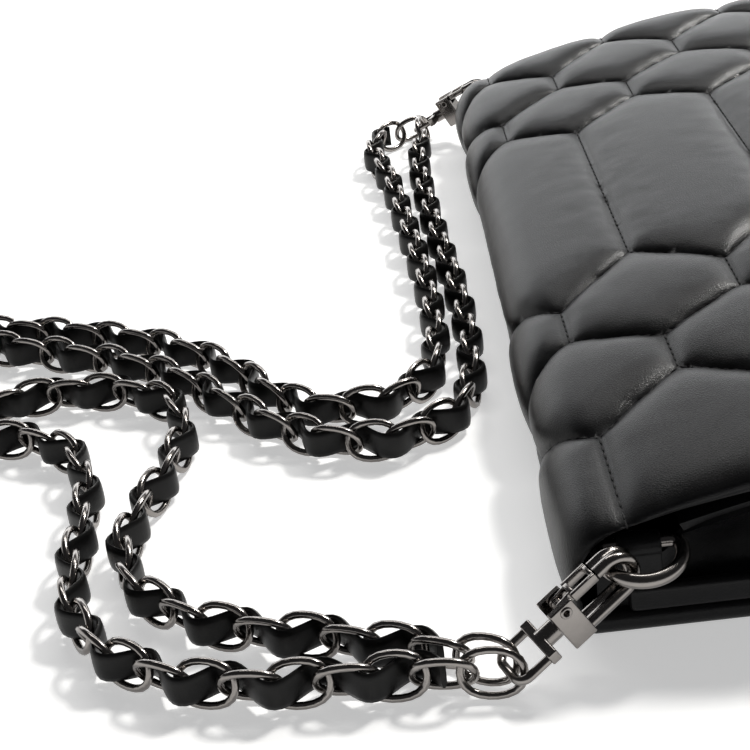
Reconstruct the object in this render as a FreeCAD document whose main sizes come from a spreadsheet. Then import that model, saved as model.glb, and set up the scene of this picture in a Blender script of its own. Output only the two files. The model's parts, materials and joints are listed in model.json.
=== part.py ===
"""Chain shoulder bag: a quilted flap bag lying on its back, with a two-strand chain strap.

Frame, in millimetres: +X along the bag's width, +Y from its base to the fold of its flap, +Z up.
The origin is on the floor under the middle of the bag.
"""

import FreeCAD, Part
import math
import os
import re
from FreeCAD import Matrix, Placement, Rotation, Vector

SIZES = {
    # the bag's outside
    "bag_width": 280.0,
    "bag_height": 170.0,
    "back_thick": 5.0,
    "back_corner_round": 9.0,
    "back_edge_round": 2.0,
    "spine_thick": 4.4,
    "spine_lean": 3.6,
    # the flap, whose outer face is an arc through its hinge, its middle and its free edge
    "flap_thick": 5.0,
    "flap_hinge_height": 26.5,
    "flap_mid_height": 43.0,
    "flap_edge_height": 43.0,
    "flap_hinge_inset": 6.5,
    "flap_free_inset": 13.0,
    "flap_edge_round": 2.2,
    "flap_lining_inset": 4.0,
    "hinge_relief": 8.0,
    "quilt_fold_inset": 34.2,
    "quilt_hinge_inset": 3.0,
    "quilt_step": 20.1,
    "quilt_depth": 2.7,
    "quilt_seam_depth": 3.2,
    "quilt_slope_width": 6.0,
    # the pocket under the flap
    "front_thick": 4.5,
    "front_side_inset": 3.0,
    "front_edge_round": 1.2,
    "mouth_inset": 24.0,
    "base_thick": 2.0,
    "gusset_thick": 1.8,
    "gusset_inset": 3.0,
    "gusset_top_height": 17.2,
    "gusset_top_inset": 8.0,
    "lining_thick": 0.9,
    "lining_inset": 1.5,
    "patch_width": 160.0,
    "patch_height": 95.0,
    "patch_thick": 0.9,
    "patch_corner_round": 6.0,
    "welt_height": 6.0,
    "welt_top_inset": 14.0,
    "welt_round": 1.1,
    "layer_gap": 0.3,
    "seam_gap": 0.05,
    # the magnetic snap
    "snap_radius": 9.0,
    "snap_socket_thick": 2.4,
    "snap_stud_thick": 2.0,
    "snap_nose_radius": 3.0,
    "snap_nose_length": 1.2,
    "snap_nose_room": 0.4,
    "snap_plate_radius": 8.0,
    "snap_plate_thick": 0.6,
    "snap_gap": 0.1,
    # the rings at the corners, each on a leather tab over the gusset's edge
    "ring_wire_radius": 1.5,
    "ring_half_width": 8.2,
    "ring_reach": 2.2,
    "ring_corner_radius": 2.3,
    "ring_height": 19.3,
    "ring_inset": 16.5,
    "tab_width": 9.0,
    "tab_thick": 1.0,
    "tab_foot_height": 11.4,
    "tab_gap": 0.1,
    # the swivel clasps, measured from the eye's outer bar towards the hook
    "eye_wire_radius": 0.95,
    "eye_half_width": 4.6,
    "eye_corner_radius": 2.4,
    "eye_length": 7.2,
    "eye_base_thick": 2.2,
    "eye_base_depth": 2.8,
    "collar_radius": 2.1,
    "stem_radius": 1.1,
    "stem_head_radius": 1.6,
    "stem_head_thick": 1.1,
    "block_start": 12.4,
    "block_width": 10.4,
    "block_depth": 6.0,
    "block_height": 5.5,
    "block_round": 0.35,
    "stem_floor": 1.2,
    "hook_thick": 2.4,
    "hook_depth": 4.8,
    "hook_groove": 0.7,
    "hook_leg_length": 9.4,
    "hook_nose_length": 2.6,
    "gate_wall": 0.7,
    "gate_tip_gap": 0.35,
    "gate_block_gap": 0.9,
    "gate_lug_radius": 1.45,
    "gate_lug_thick": 0.75,
    "gate_tongue_depth": 3.0,
    "gate_slot_gap": 0.2,
    "pivot_from_side": 1.7,
    "pivot_from_floor": 3.1,
    "pin_radius": 0.8,
    "pin_bore_radius": 0.45,
    "pin_head_radius": 1.3,
    "pin_head_thick": 0.4,
    "pin_fixed_gap": 0.02,
    "pin_running_gap": 0.05,
    "spring_wire_radius": 0.14,
    "spring_radius": 1.12,
    "spring_pitch": 0.36,
    "spring_leg": 1.3,
    "stem_gap": 0.06,
    "hook_slack": 1.5,
    "hook_shift": 0.5,
    "overrun": 1.0,
    # the chain and the leather lace that is woven through it
    "link_half_length": 6.2,
    "link_half_height": 4.6,
    "link_end_radius": 3.8,
    "link_wire_radius": 0.85,
    "link_pitch": 9.35,
    "floor_gap": 0.1,
    "lace_width": 6.2,
    "lace_thick": 1.4,
    "lace_swing": 3.25,
    "outer_hold": 0.9,
    "inner_hold": 2.8,
    "far_hold": 0.5,
    "far_lift": 1.4,
    "side_hold": 4.4,
    "end_gap": 0.4,
}

# The zigzag seams of the quilting, as shares of half the width: on its even rows and on its odd ones
QUILT_SEAM_SHARES = (
    (-0.646, -0.764), (-0.539, -0.457), (-0.218, -0.346), (0.407, 0.507), (0.7, 0.614), (0.8, 0.914),
)
QUILT_EDGE_SHARE = 1.1

LINK_TILT_DEG = 20.0
RING_DROOP_DEG = 8.0
FLAP_CLEAR_DEG = 155.0
SPRING_TURNS = 3
BARE_LINKS = 2  # the links at each end of a strand that the lace doesn't reach

# How the left clasp lies: where on the ring's bow its hook holds, the way on the floor from its eye
# to its hook, and the way that its front face looks. The right clasp is its mirror image.
SIDES = {"left": -1, "right": 1}
GRIP_BOW_DEG = 38.0
CLASP_HEADING = (0.39, -0.92)
CLASP_FRONT = (-0.93, -0.35, 0.08)

# The two strands' routes on the floor between their end links: along X and Y.
OUTER_ROUTE = [
    (-150.2, 117.0), (-150.0, 138.5), (-147.0, 157.5), (-138.0, 174.0), (-124.5, 184.5),
    (-107.0, 188.5), (-87.0, 188.0), (-66.5, 189.5), (-51.0, 197.0), (-42.2, 211.0),
    (-41.2, 228.0), (-42.0, 247.0), (-33.5, 264.0), (-16.5, 273.0), (3.5, 271.0), (18.5, 259.5),
    (24.0, 241.5), (17.5, 217.0), (8.0, 193.0), (-2.0, 175.5), (-13.0, 162.5), (-25.5, 152.0),
    (-39.5, 143.5), (-46.9, 132.0), (-48.0, 120.2), (-43.0, 109.5), (-33.3, 102.8),
    (-12.0, 100.9), (25.0, 102.4), (70.0, 106.4), (100.0, 109.0), (117.0, 112.6),
    (129.8, 114.6), (137.4, 113.2), (144.0, 109.3), (148.9, 103.4),
]
INNER_ROUTE = [
    (-142.5, 116.0), (-136.0, 134.0), (-130.5, 153.0), (-120.0, 168.5), (-105.5, 177.5),
    (-89.0, 177.0), (-72.5, 171.5), (-56.0, 167.5), (-42.5, 168.0), (-31.5, 174.0),
    (-25.0, 184.5), (-21.4, 198.0), (-21.4, 212.1), (-24.2, 220.4), (-29.8, 227.4),
    (-33.2, 238.8), (-30.8, 250.2), (-23.4, 259.2), (-12.4, 263.2), (-0.8, 262.2), (8.8, 255.8),
    (14.0, 245.6), (13.6, 234.2), (6.5, 217.0), (-2.5, 199.0), (-12.0, 182.5), (-24.0, 168.0),
    (-39.0, 156.5), (-53.5, 143.0), (-63.2, 128.3), (-65.2, 115.2), (-60.2, 102.8),
    (-49.6, 94.8), (-30.0, 92.6), (5.0, 93.0), (50.0, 96.6), (88.0, 98.6), (112.0, 98.8),
    (131.0, 97.4),
]

doc = FreeCAD.newDocument("chain_bag")
sheet = doc.addObject("Spreadsheet::Sheet", "Sizes")
for row, (alias, value) in enumerate(SIZES.items(), 1):
    sheet.set(f"A{row}", alias)
    sheet.set(f"B{row}", str(value))
    sheet.setAlias(f"B{row}", alias)
doc.recompute()

PARTS = []


def size(alias):
    """A driving dimension, read from the sheet."""
    return float(sheet.get(alias))


def bound(words):
    """An expression in the sheet's aliases."""
    return re.sub(r"[a-z][a-z_]+", lambda m: "Sizes." + m.group(0), words)


def bind(obj, **fields):
    """Ties an object's properties to the sheet."""
    for name, words in fields.items():
        obj.setExpression(name, bound(words))
    return obj


def put(obj, x="0", y="0", z="0", turn=None):
    """Sets where an object stands, from expressions, and how it is turned."""
    if turn is not None:
        obj.Placement = Placement(Vector(), turn)
    for axis, words in (("x", x), ("y", y), ("z", z)):
        if words != "0":
            obj.setExpression(f"Placement.Base.{axis}", bound(words))
    return obj


def box(name, length, width, height, **where):
    obj = bind(doc.addObject("Part::Box", name), Length=length, Width=width, Height=height)
    return put(obj, **where)


def cylinder(name, radius, height, **where):
    return put(bind(doc.addObject("Part::Cylinder", name), Radius=radius, Height=height), **where)


def fused(name, *shapes):
    obj = doc.addObject("Part::MultiFuse", name)
    obj.Shapes = list(shapes)
    return obj


def cut(name, base, *tools):
    obj = doc.addObject("Part::Cut", name)
    obj.Base = base
    obj.Tool = tools[0] if len(tools) == 1 else fused(name + "_tools", *tools)
    return obj


def rounded(name, base, radius, picked):
    """Fillets the edges that picked accepts, all by one size of the sheet."""
    doc.recompute()
    obj = doc.addObject("Part::Fillet", name)
    obj.Base = base
    reach = size(radius)
    numbers = [i for i, edge in enumerate(base.Shape.Edges, 1) if picked(edge)]
    obj.Edges = [(i, reach, reach) for i in numbers]
    return obj


def feature(name, shape):
    obj = doc.addObject("Part::Feature", name)
    obj.Shape = shape
    return obj


def keep(obj, label, placement=None):
    """Names a finished sub-part and lists it for export."""
    obj.Label = label
    if placement is not None:
        obj.Placement = placement
    PARTS.append(obj)
    return obj


ALONG_X = Rotation(Vector(0, 1, 0), 90)
ALONG_Y = Rotation(Vector(1, 0, 0), -90)


def straight_along(direction):
    """Picks straight edges along one axis."""
    def picked(edge):
        ends = [v.Point for v in edge.Vertexes]
        if len(ends) < 2 or edge.Curve.TypeId != "Part::GeomLine":
            return False
        return abs((ends[1] - ends[0]).normalize().dot(direction)) > 0.999
    return picked


def flat_at(height):
    """Picks edges that lie all along one height."""
    def picked(edge):
        return all(abs(v.Point.z - height) < 1e-6 for v in edge.Vertexes)
    return picked


# The arcs that the flap and the layers under it share.

fold_y = size("bag_height") / 2
hinge_y = fold_y - size("flap_hinge_inset")
free_y = size("flap_free_inset") - fold_y
outer_arc = Part.Arc(
    Vector(0, hinge_y, size("flap_hinge_height")),
    Vector(0, 0, size("flap_mid_height")),
    Vector(0, free_y, size("flap_edge_height")),
).toShape().Curve
ARC_Y, ARC_Z, ARC_RADIUS = outer_arc.Center.y, outer_arc.Center.z, outer_arc.Radius


def arc_point(depth, y_at_face, x=0.0):
    """A point that lies depth under the flap's outer face, on the radius through y at that face."""
    angle = math.asin((y_at_face - ARC_Y) / ARC_RADIUS)
    radius = ARC_RADIUS - depth
    return Vector(x, ARC_Y + radius * math.sin(angle), ARC_Z + radius * math.cos(angle))


def arc_edge(depth, y_from, y_to, x=0.0):
    middle = arc_point(depth, (y_from + y_to) / 2, x)
    return Part.Arc(arc_point(depth, y_from, x), middle, arc_point(depth, y_to, x)).toShape()


def arc_panel(depth, thick, y_from, y_to, width):
    """A curved layer of even thickness, centred on the bag."""
    x = -width / 2
    top = arc_edge(depth, y_from, y_to, x)
    low = arc_edge(depth + thick, y_from, y_to, x)
    ends = [
        Part.makeLine(arc_point(depth, y, x), arc_point(depth + thick, y, x))
        for y in (y_from, y_to)
    ]
    outline = Part.Wire(Part.__sortEdges__([top, low, *ends]))
    return Part.Face(outline).extrude(Vector(width, 0, 0))


flap_lining_depth = size("flap_thick") + size("seam_gap")
front_depth = flap_lining_depth + size("lining_thick") + size("layer_gap")
front_under = front_depth + size("front_thick")
front_lining_depth = front_under + size("seam_gap")
inside_depth = front_lining_depth + size("lining_thick")
hinge_axis = arc_point(size("flap_thick") / 2, hinge_y)
snap_y = ARC_Y


def snap_seat(depth, thick, room):
    """A round seat for half of the snap, whose top lies depth under the flap's outer face."""
    reach = size("snap_radius") + room
    top = ARC_Z + ARC_RADIUS - depth
    return Part.makeCylinder(reach, thick, Vector(0, snap_y, top - thick))


def outer_edges(shape, depth):
    """The edges of a curved layer that lie on the face at that depth."""
    radius = ARC_RADIUS - depth
    centre = Vector(0, ARC_Y, ARC_Z)
    picked = []
    for edge in shape.Edges:
        reaches = [(Vector(0, v.Point.y, v.Point.z) - centre).Length for v in edge.Vertexes]
        if all(abs(r - radius) < 1e-4 for r in reaches):
            picked.append(edge)
    return picked


def back_panel():
    slab = box(
        "back_slab", "bag_width", "bag_height", "back_thick",
        x="-bag_width/2", y="-bag_height/2",
    )
    corners = rounded("back_corners", slab, "back_corner_round", straight_along(Vector(0, 0, 1)))
    keep(rounded("back_edges", corners, "back_edge_round", flat_at(0)), "back_panel")


def spine():
    """The padded fold that joins the back panel to the flap's hinge."""
    half = size("spine_thick") / 2
    foot = Vector(0, fold_y - half - size("back_edge_round"), size("back_thick"))
    clear = size("flap_thick") / 2 + size("layer_gap")
    lean = Vector(0, size("spine_lean"), -clear).normalize()
    head = hinge_axis + lean * clear
    middle = Vector(0, fold_y - half, (foot.z + head.z) / 2)
    line = Part.Arc(foot, middle, head).toShape().Curve
    centre, radius = line.Center, line.Radius

    def shifted(point, by):
        return centre + (point - centre) * ((radius + by) / radius)

    def side(by):
        return Part.Arc(*[shifted(p, by) for p in (foot, middle, head)]).toShape()

    ends = [Part.makeLine(shifted(p, half), shifted(p, -half)) for p in (foot, head)]
    outline = Part.Wire(Part.__sortEdges__([side(half), side(-half), *ends]))
    strip = Part.Face(outline).extrude(Vector(size("bag_width"), 0, 0))
    strip.translate(Vector(-size("bag_width") / 2, 0, 0))
    beside_flap = Part.makeCylinder(
        clear, size("bag_width") + 2 * size("overrun"),
        hinge_axis - Vector(size("bag_width") / 2 + size("overrun"), 0, 0), Vector(1, 0, 0),
    )
    under = Part.makeBox(
        size("bag_width"), size("bag_height"), size("back_thick"),
        Vector(-size("bag_width") / 2, -fold_y, 0),
    )
    open_flap = Part.makeBox(
        size("bag_width") + 2 * size("overrun"), size("bag_height"), size("bag_height"),
        Vector(-size("bag_width") / 2 - size("overrun"), 0, -clear),
    )
    open_flap.rotate(Vector(), Vector(1, 0, 0), 180 - FLAP_CLEAR_DEG)
    open_flap.translate(hinge_axis)
    strip = strip.cut(beside_flap).cut(under).cut(open_flap)
    keep(feature("spine_strip", strip), "spine")


def quilt_cells():
    """The six corners of each cell of the quilting, along X and Y."""
    half, step = size("bag_width") / 2, size("quilt_step")
    first = fold_y - size("quilt_fold_inset")
    edges = [(-QUILT_EDGE_SHARE,) * 2, *QUILT_SEAM_SHARES, (QUILT_EDGE_SHARE,) * 2]
    cells = []
    for i, (left, right) in enumerate(zip(edges, edges[1:])):
        for row in range(math.floor((free_y - first) / step) - 1, math.ceil((hinge_y - first) / step)):
            if row % 2 != i % 2:
                sides = [(left, row), (right, row), (right, row + 1)]
                sides += [(right, row + 2), (left, row + 2), (left, row + 1)]
                cells.append([(half * shares[at % 2], first + step * at) for shares, at in sides])
    return cells


def quilt_pad(corners):
    """The filling of one cell, whose sides lean in from the seams around it."""
    middle = sum(y for _, y in corners) / len(corners)
    face = arc_point(0, middle)
    out = (face - arc_point(size("quilt_depth"), middle)).normalize()
    spots = [arc_point(0, y, x) for x, y in corners]
    spots = [p - out * (p - face).dot(out) for p in spots]
    seam, rise = size("quilt_seam_depth"), size("overrun")

    def ring(height):
        inset = (height + seam) * size("quilt_slope_width") / seam
        moved = []
        for before, spot, after in zip(spots[-1:] + spots[:-1], spots, spots[1:] + spots[:1]):
            ways = [out.cross((q - p).normalize()) for p, q in ((before, spot), (spot, after))]
            moved.append(spot + out * height + (ways[0] + ways[1]) * (inset / (1 + ways[0].dot(ways[1]))))
        return moved

    low, high = ring(-seam - rise), ring(rise)
    sides = [low[::-1], high]
    sides += [[p, q, r, s] for p, q, r, s in zip(low, low[1:] + low[:1], high[1:] + high[:1], high)]
    faces = [Part.Face(Part.makePolygon([*side, side[0]])) for side in sides]
    return Part.makeSolid(Part.makeShell(faces))


def flap():
    width, thick = size("bag_width"), size("flap_thick")
    x = -width / 2
    hinge_end = Part.Arc(
        arc_point(0, hinge_y, x),
        Vector(x, 0, 0) + hinge_axis + (hinge_axis - arc_point(thick / 2, hinge_y - thick)).normalize()
        * (thick / 2),
        arc_point(thick, hinge_y, x),
    ).toShape()
    free_end = Part.makeLine(arc_point(0, free_y, x), arc_point(thick, free_y, x))
    edges = [arc_edge(0, hinge_y, free_y, x), arc_edge(thick, hinge_y, free_y, x)]
    outline = Part.Wire(Part.__sortEdges__([*edges, hinge_end, free_end]))
    shell = Part.Face(outline).extrude(Vector(width, 0, 0))
    shell = shell.makeFillet(size("flap_edge_round"), outer_edges(shell, 0)[1:])
    over = size("overrun")
    top = hinge_y - size("quilt_hinge_inset")
    grooves = arc_panel(-over, size("quilt_depth") + over, top, free_y - over, width + 2 * over)
    for corners in quilt_cells():
        grooves = grooves.cut(quilt_pad(corners))
    shell = shell.cut(grooves)
    seat = size("snap_stud_thick") + size("snap_plate_thick") + size("snap_gap")
    depth = flap_lining_depth + size("lining_thick") - seat
    keep(feature("flap_shell", shell.cut(snap_seat(depth, seat, size("snap_gap")))), "flap")

    inset = size("flap_lining_inset")
    sheet_shape = arc_panel(
        flap_lining_depth, size("lining_thick"), hinge_y - size("hinge_relief"),
        free_y + inset, width - 2 * inset,
    )
    through = snap_seat(depth, seat + size("overrun"), size("snap_gap"))
    keep(feature("flap_sheet", sheet_shape.cut(through)), "flap_lining")


def front_panel():
    width = size("bag_width") - 2 * size("front_side_inset")
    mouth = fold_y - size("mouth_inset")
    base = size("base_thick") + size("layer_gap") - fold_y
    shell = arc_panel(front_depth, size("front_thick"), mouth, base, width)
    shell = shell.makeFillet(size("front_edge_round"), outer_edges(shell, front_depth))
    seat = size("snap_socket_thick") + size("snap_plate_thick") + size("snap_gap")
    keep(feature("front_shell", shell.cut(snap_seat(front_depth, seat, size("snap_gap")))), "front_panel")

    inset = size("gusset_inset") + size("gusset_thick") + size("lining_inset")
    lining = arc_panel(
        front_lining_depth, size("lining_thick"), mouth - size("lining_inset"),
        base + size("lining_inset"), size("bag_width") - 2 * inset,
    )
    keep(feature("front_sheet", lining), "front_lining")


def back_lining():
    inset = "gusset_inset + gusset_thick + lining_inset"
    lining = box(
        "back_sheet", f"bag_width - 2*({inset})",
        "bag_height - base_thick - mouth_inset - 2*lining_inset", "lining_thick",
        x=f"-bag_width/2 + {inset}", y="-bag_height/2 + base_thick + lining_inset",
        z="back_thick",
    )
    keep(lining, "back_lining")
    patch = box(
        "patch_sheet", "patch_width", "patch_height", "patch_thick",
        x="-patch_width/2", y="-patch_height/2", z="back_thick + lining_thick",
    )
    upright = straight_along(Vector(0, 0, 1))
    keep(rounded("patch_round", patch, "patch_corner_round", upright), "slip_pocket")


def base_gusset():
    top = arc_point(front_depth, -fold_y).z
    wall = box(
        "base_wall", "bag_width - 2*gusset_inset", "base_thick", "back_thick",
        x="-bag_width/2 + gusset_inset", y="-bag_height/2", z="back_thick",
    )
    wall.setExpression("Height", None)
    wall.Height = top - size("back_thick")
    keep(wall, "base_gusset")


def side_gusset(side, sign):
    """A side wall of the pocket, whose low end at the fold carries the ring's tab."""
    x = sign * (size("bag_width") / 2 - size("gusset_inset"))
    foot, step = size("back_thick"), size("gusset_top_height")
    base = size("base_thick") + size("layer_gap") - fold_y
    mouth = fold_y - size("mouth_inset")
    top_end = fold_y - size("gusset_top_inset")
    depth = front_under + size("seam_gap")
    crest = arc_edge(depth, mouth, base, x)
    at_mouth, at_base = arc_point(depth, mouth, x), arc_point(depth, base, x)
    corners = [
        at_mouth,
        Vector(x, at_mouth.y, step),
        Vector(x, top_end, step),
        Vector(x, top_end, foot),
        Vector(x, at_base.y, foot),
        at_base,
    ]
    runs = [Part.makeLine(a, b) for a, b in zip(corners, corners[1:])]
    outline = Part.Wire(Part.__sortEdges__([crest, *runs]))
    wall = Part.Face(outline).extrude(Vector(-sign * size("gusset_thick"), 0, 0))
    keep(feature(f"{side}_wall", wall), f"{side}_gusset")

    welt = box(
        f"{side}_band", "gusset_inset - seam_gap",
        "bag_height - welt_top_inset - base_thick", "welt_height",
        x="-bag_width/2" if sign < 0 else "bag_width/2 - gusset_inset + seam_gap",
        y="-bag_height/2 + base_thick", z="back_thick",
    )
    above = size("back_thick") + size("welt_height")
    keep(rounded(f"{side}_band_round", welt, "welt_round", flat_at(above)), f"{side}_welt")


def snap():
    """The two halves of the magnetic snap, each with the plate that it is clinched on."""
    radius, plate = size("snap_radius"), size("snap_plate_thick")
    nose, room = size("snap_nose_radius"), size("snap_nose_room")
    crown = ARC_Z + ARC_RADIUS
    face = crown - front_depth - size("snap_gap")
    socket_low = face - size("snap_socket_thick")
    socket = Part.makeCylinder(radius, size("snap_socket_thick"), Vector(0, snap_y, socket_low))
    deep = size("snap_nose_length") + room
    hole = Part.makeCylinder(nose + room, deep, Vector(0, snap_y, face - deep))
    keep(feature("snap_low", socket.cut(hole)), "snap_socket")
    low_plate = Part.makeCylinder(
        size("snap_plate_radius"), plate, Vector(0, snap_y, socket_low - plate)
    )
    keep(feature("snap_low_plate", low_plate), "snap_socket_plate")

    under = crown - flap_lining_depth - size("lining_thick")
    stud = Part.makeCylinder(radius, size("snap_stud_thick"), Vector(0, snap_y, under))
    drop = size("snap_nose_length")
    tip = Part.makeCylinder(nose, drop, Vector(0, snap_y, under - drop))
    keep(feature("snap_high", stud.fuse(tip).removeSplitter()), "snap_stud")
    high_plate = Part.makeCylinder(
        size("snap_plate_radius"), plate, Vector(0, snap_y, under + size("snap_stud_thick"))
    )
    keep(feature("snap_high_plate", high_plate), "snap_stud_plate")


ring_x = size("bag_width") / 2 - size("gusset_inset") - size("gusset_thick") / 2
ring_y = fold_y - size("ring_inset")


def tab(side, sign):
    """A leather strip folded over the ring's bar, with its two ends sewn to the gusset's edge."""
    hold = "ring_wire_radius + tab_gap"
    x = f"{'-' if sign < 0 else ''}(bag_width/2 - gusset_inset - gusset_thick/2)"
    low = "bag_height/2 - ring_inset - tab_width/2"
    span = "gusset_thick + 2*seam_gap"
    fold = cylinder(
        f"{side}_fold", f"{hold} + tab_thick", "tab_width",
        x=x, y=low, z="ring_height", turn=ALONG_Y,
    )
    legs = box(
        f"{side}_legs", f"{span} + 2*tab_thick", "tab_width", "ring_height - tab_foot_height",
        x=f"{x} - ({span})/2 - tab_thick", y=low, z="tab_foot_height",
    )
    eye = cylinder(
        f"{side}_eye_room", hold, "tab_width + 2*overrun",
        x=x, y=f"{low} - overrun", z="ring_height", turn=ALONG_Y,
    )
    slit = box(
        f"{side}_slit", span, "tab_width + 2*overrun", "ring_height - tab_foot_height + overrun",
        x=f"{x} - ({span})/2", y=f"{low} - overrun", z="tab_foot_height - overrun",
    )
    keep(cut(f"{side}_loop", fused(f"{side}_strip", fold, legs), eye, slit), f"{side}_tab")


def swept(profile_radius, edges):
    """A round wire bent along a chain of lines and arcs."""
    path = Part.Wire(edges)
    start = edges[0].valueAt(edges[0].FirstParameter)
    along = edges[0].tangentAt(edges[0].FirstParameter)
    section = Part.Wire(Part.makeCircle(profile_radius, start, along))
    return path.makePipeShell([section], True, False)


def bent(points, radius, closed):
    """Edges through points, with every corner rounded by one radius."""
    count = len(points)
    corners = range(count) if closed else range(1, count - 1)
    arcs = {}
    for i in corners:
        before = (points[i - 1] - points[i]).normalize()
        after = (points[(i + 1) % count] - points[i]).normalize()
        half = before.getAngle(after) / 2
        reach = radius / math.tan(half)
        toward = (before + after).normalize()
        middle = points[i] + toward * (radius / math.sin(half) - radius)
        arcs[i] = (points[i] + before * reach, middle, points[i] + after * reach)
    edges = []
    last = count if closed else count - 1
    for i in range(last):
        j = (i + 1) % count
        start = arcs[i][2] if i in arcs else points[i]
        end = arcs[j][0] if j in arcs else points[j]
        if (end - start).Length > 1e-6:
            edges.append(Part.makeLine(start, end))
        if j in arcs:
            edges.append(Part.Arc(*arcs[j]).toShape())
    return edges


def ring_shape():
    """A D of round wire: its bar on the Y axis, and its bow towards -X."""
    half, reach = size("ring_half_width"), size("ring_reach")
    corner = size("ring_corner_radius")
    bow = Part.Arc(
        Vector(-reach, half, 0), Vector(-reach - half, 0, 0), Vector(-reach, -half, 0)
    ).toShape()
    bar = bent(
        [Vector(-reach, -half, 0), Vector(0, -half, 0), Vector(0, half, 0), Vector(-reach, half, 0)],
        min(corner, reach - size("tab_gap")), False,
    )
    return swept(size("ring_wire_radius"), [*bar, bow])


def ring_placement(sign):
    turn = Rotation(Vector(0, 1, 0), -RING_DROOP_DEG)
    if sign > 0:
        turn = Rotation(Vector(0, 0, 1), 180).multiply(turn)
    return Placement(Vector(sign * ring_x, ring_y, size("ring_height")), turn)


def chain_height():
    """How high the middle of a link lies over the floor."""
    tilt = math.radians(LINK_TILT_DEG)
    return size("link_half_height") * math.cos(tilt) + size("link_wire_radius") + size("floor_gap")


def clasp_frame(sign):
    """Where a clasp lies: from the eye's outer bar, with +Z to the hook and -Y to its front."""
    bow, droop = math.radians(GRIP_BOW_DEG), math.radians(RING_DROOP_DEG)
    out = size("ring_reach") + size("ring_half_width") * math.sin(bow)
    grip = Vector(
        sign * (ring_x + out * math.cos(droop)),
        ring_y + size("ring_half_width") * math.cos(bow),
        size("ring_height") - out * math.sin(droop),
    )
    length = hook_top() - size("hook_thick") - size("ring_wire_radius") - size("hook_slack")
    rise = (grip.z - chain_height()) / length
    heading = Vector(-sign * CLASP_HEADING[0], CLASP_HEADING[1], 0).normalize()
    along = heading * math.sqrt(1 - rise * rise) + Vector(0, 0, rise)
    front = Vector(CLASP_FRONT[0], -sign * CLASP_FRONT[1], -sign * CLASP_FRONT[2])
    back = (along * front.dot(along) - front).normalize()
    across = back.cross(along)
    origin = grip - along * length + across * size("hook_shift")
    matrix = Matrix(
        across.x, back.x, along.x, origin.x,
        across.y, back.y, along.y, origin.y,
        across.z, back.z, along.z, origin.z,
        0, 0, 0, 1,
    )
    return Placement(matrix)


def block_top():
    return size("block_start") + size("block_height")


def hook_radius():
    return (size("block_width") - size("hook_thick")) / 2


def hook_top():
    return block_top() + size("hook_leg_length") + hook_radius() + size("hook_thick") / 2


def hook_body(side, place):
    """The clasp's cast body: a block with the hook's bar, bored for the stem and slotted for the gate."""
    block = rounded(
        f"{side}_block",
        box(
            f"{side}_blank", "block_width", "block_depth", "block_height",
            x="-block_width/2", y="-block_depth/2", z="block_start",
        ),
        "block_round", lambda edge: True,
    )
    leg, radius = block_top() + size("hook_leg_length"), hook_radius()
    low = block_top() - size("overrun")
    nose = leg - size("hook_nose_length")
    line = [
        Part.makeLine(Vector(radius, 0, low), Vector(radius, 0, leg)),
        Part.Arc(Vector(radius, 0, leg), Vector(0, 0, leg + radius), Vector(-radius, 0, leg)).toShape(),
        Part.makeLine(Vector(-radius, 0, leg), Vector(-radius, 0, nose)),
    ]
    bar = feature(f"{side}_bar", Part.Wire(line).makePipeShell([bar_section(radius, low)], True, False))
    slot = box(
        f"{side}_slot", "2*pivot_from_side + gate_lug_radius", "gate_tongue_depth + 2*gate_slot_gap",
        "block_height + 2*overrun",
        x="-block_width/2 - pivot_from_side + gate_slot_gap",
        y="-gate_tongue_depth/2 - gate_slot_gap", z="block_start - overrun",
    )
    bore = cylinder(f"{side}_bore", "stem_radius + stem_gap", "block_height/2", z="block_start - overrun")
    room = cylinder(
        f"{side}_room", "stem_head_radius + stem_gap", "stem_head_thick + 2*stem_gap",
        z="block_start + stem_floor",
    )
    pin_hole = cylinder(
        f"{side}_pin_hole", "pin_radius + pin_fixed_gap", "block_depth + 2*overrun",
        x="-block_width/2 + pivot_from_side", y="-block_depth/2 - overrun",
        z="block_start + pivot_from_floor", turn=ALONG_Y,
    )
    body = fused(f"{side}_casting", cut(f"{side}_hollow", block, slot, bore, room, pin_hole), bar)
    keep(body, f"{side}_hook", place)


def bar_section(radius, low):
    """The hook bar's section: a flat bar with round edges and a groove down each face."""
    deep, thick = size("hook_depth") / 2, size("hook_thick") / 2
    groove = size("hook_groove") / 2
    def at(across, along):
        return Vector(radius + across, along, low)
    rim = deep - thick
    return Part.Wire([
        Part.Arc(at(-thick, -rim), at(0, -deep), at(thick, -rim)).toShape(),
        Part.Arc(at(thick, -rim), at(thick - groove, 0), at(thick, rim)).toShape(),
        Part.Arc(at(thick, rim), at(0, deep), at(-thick, rim)).toShape(),
        Part.Arc(at(-thick, rim), at(groove - thick, 0), at(-thick, -rim)).toShape(),
    ])


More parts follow.
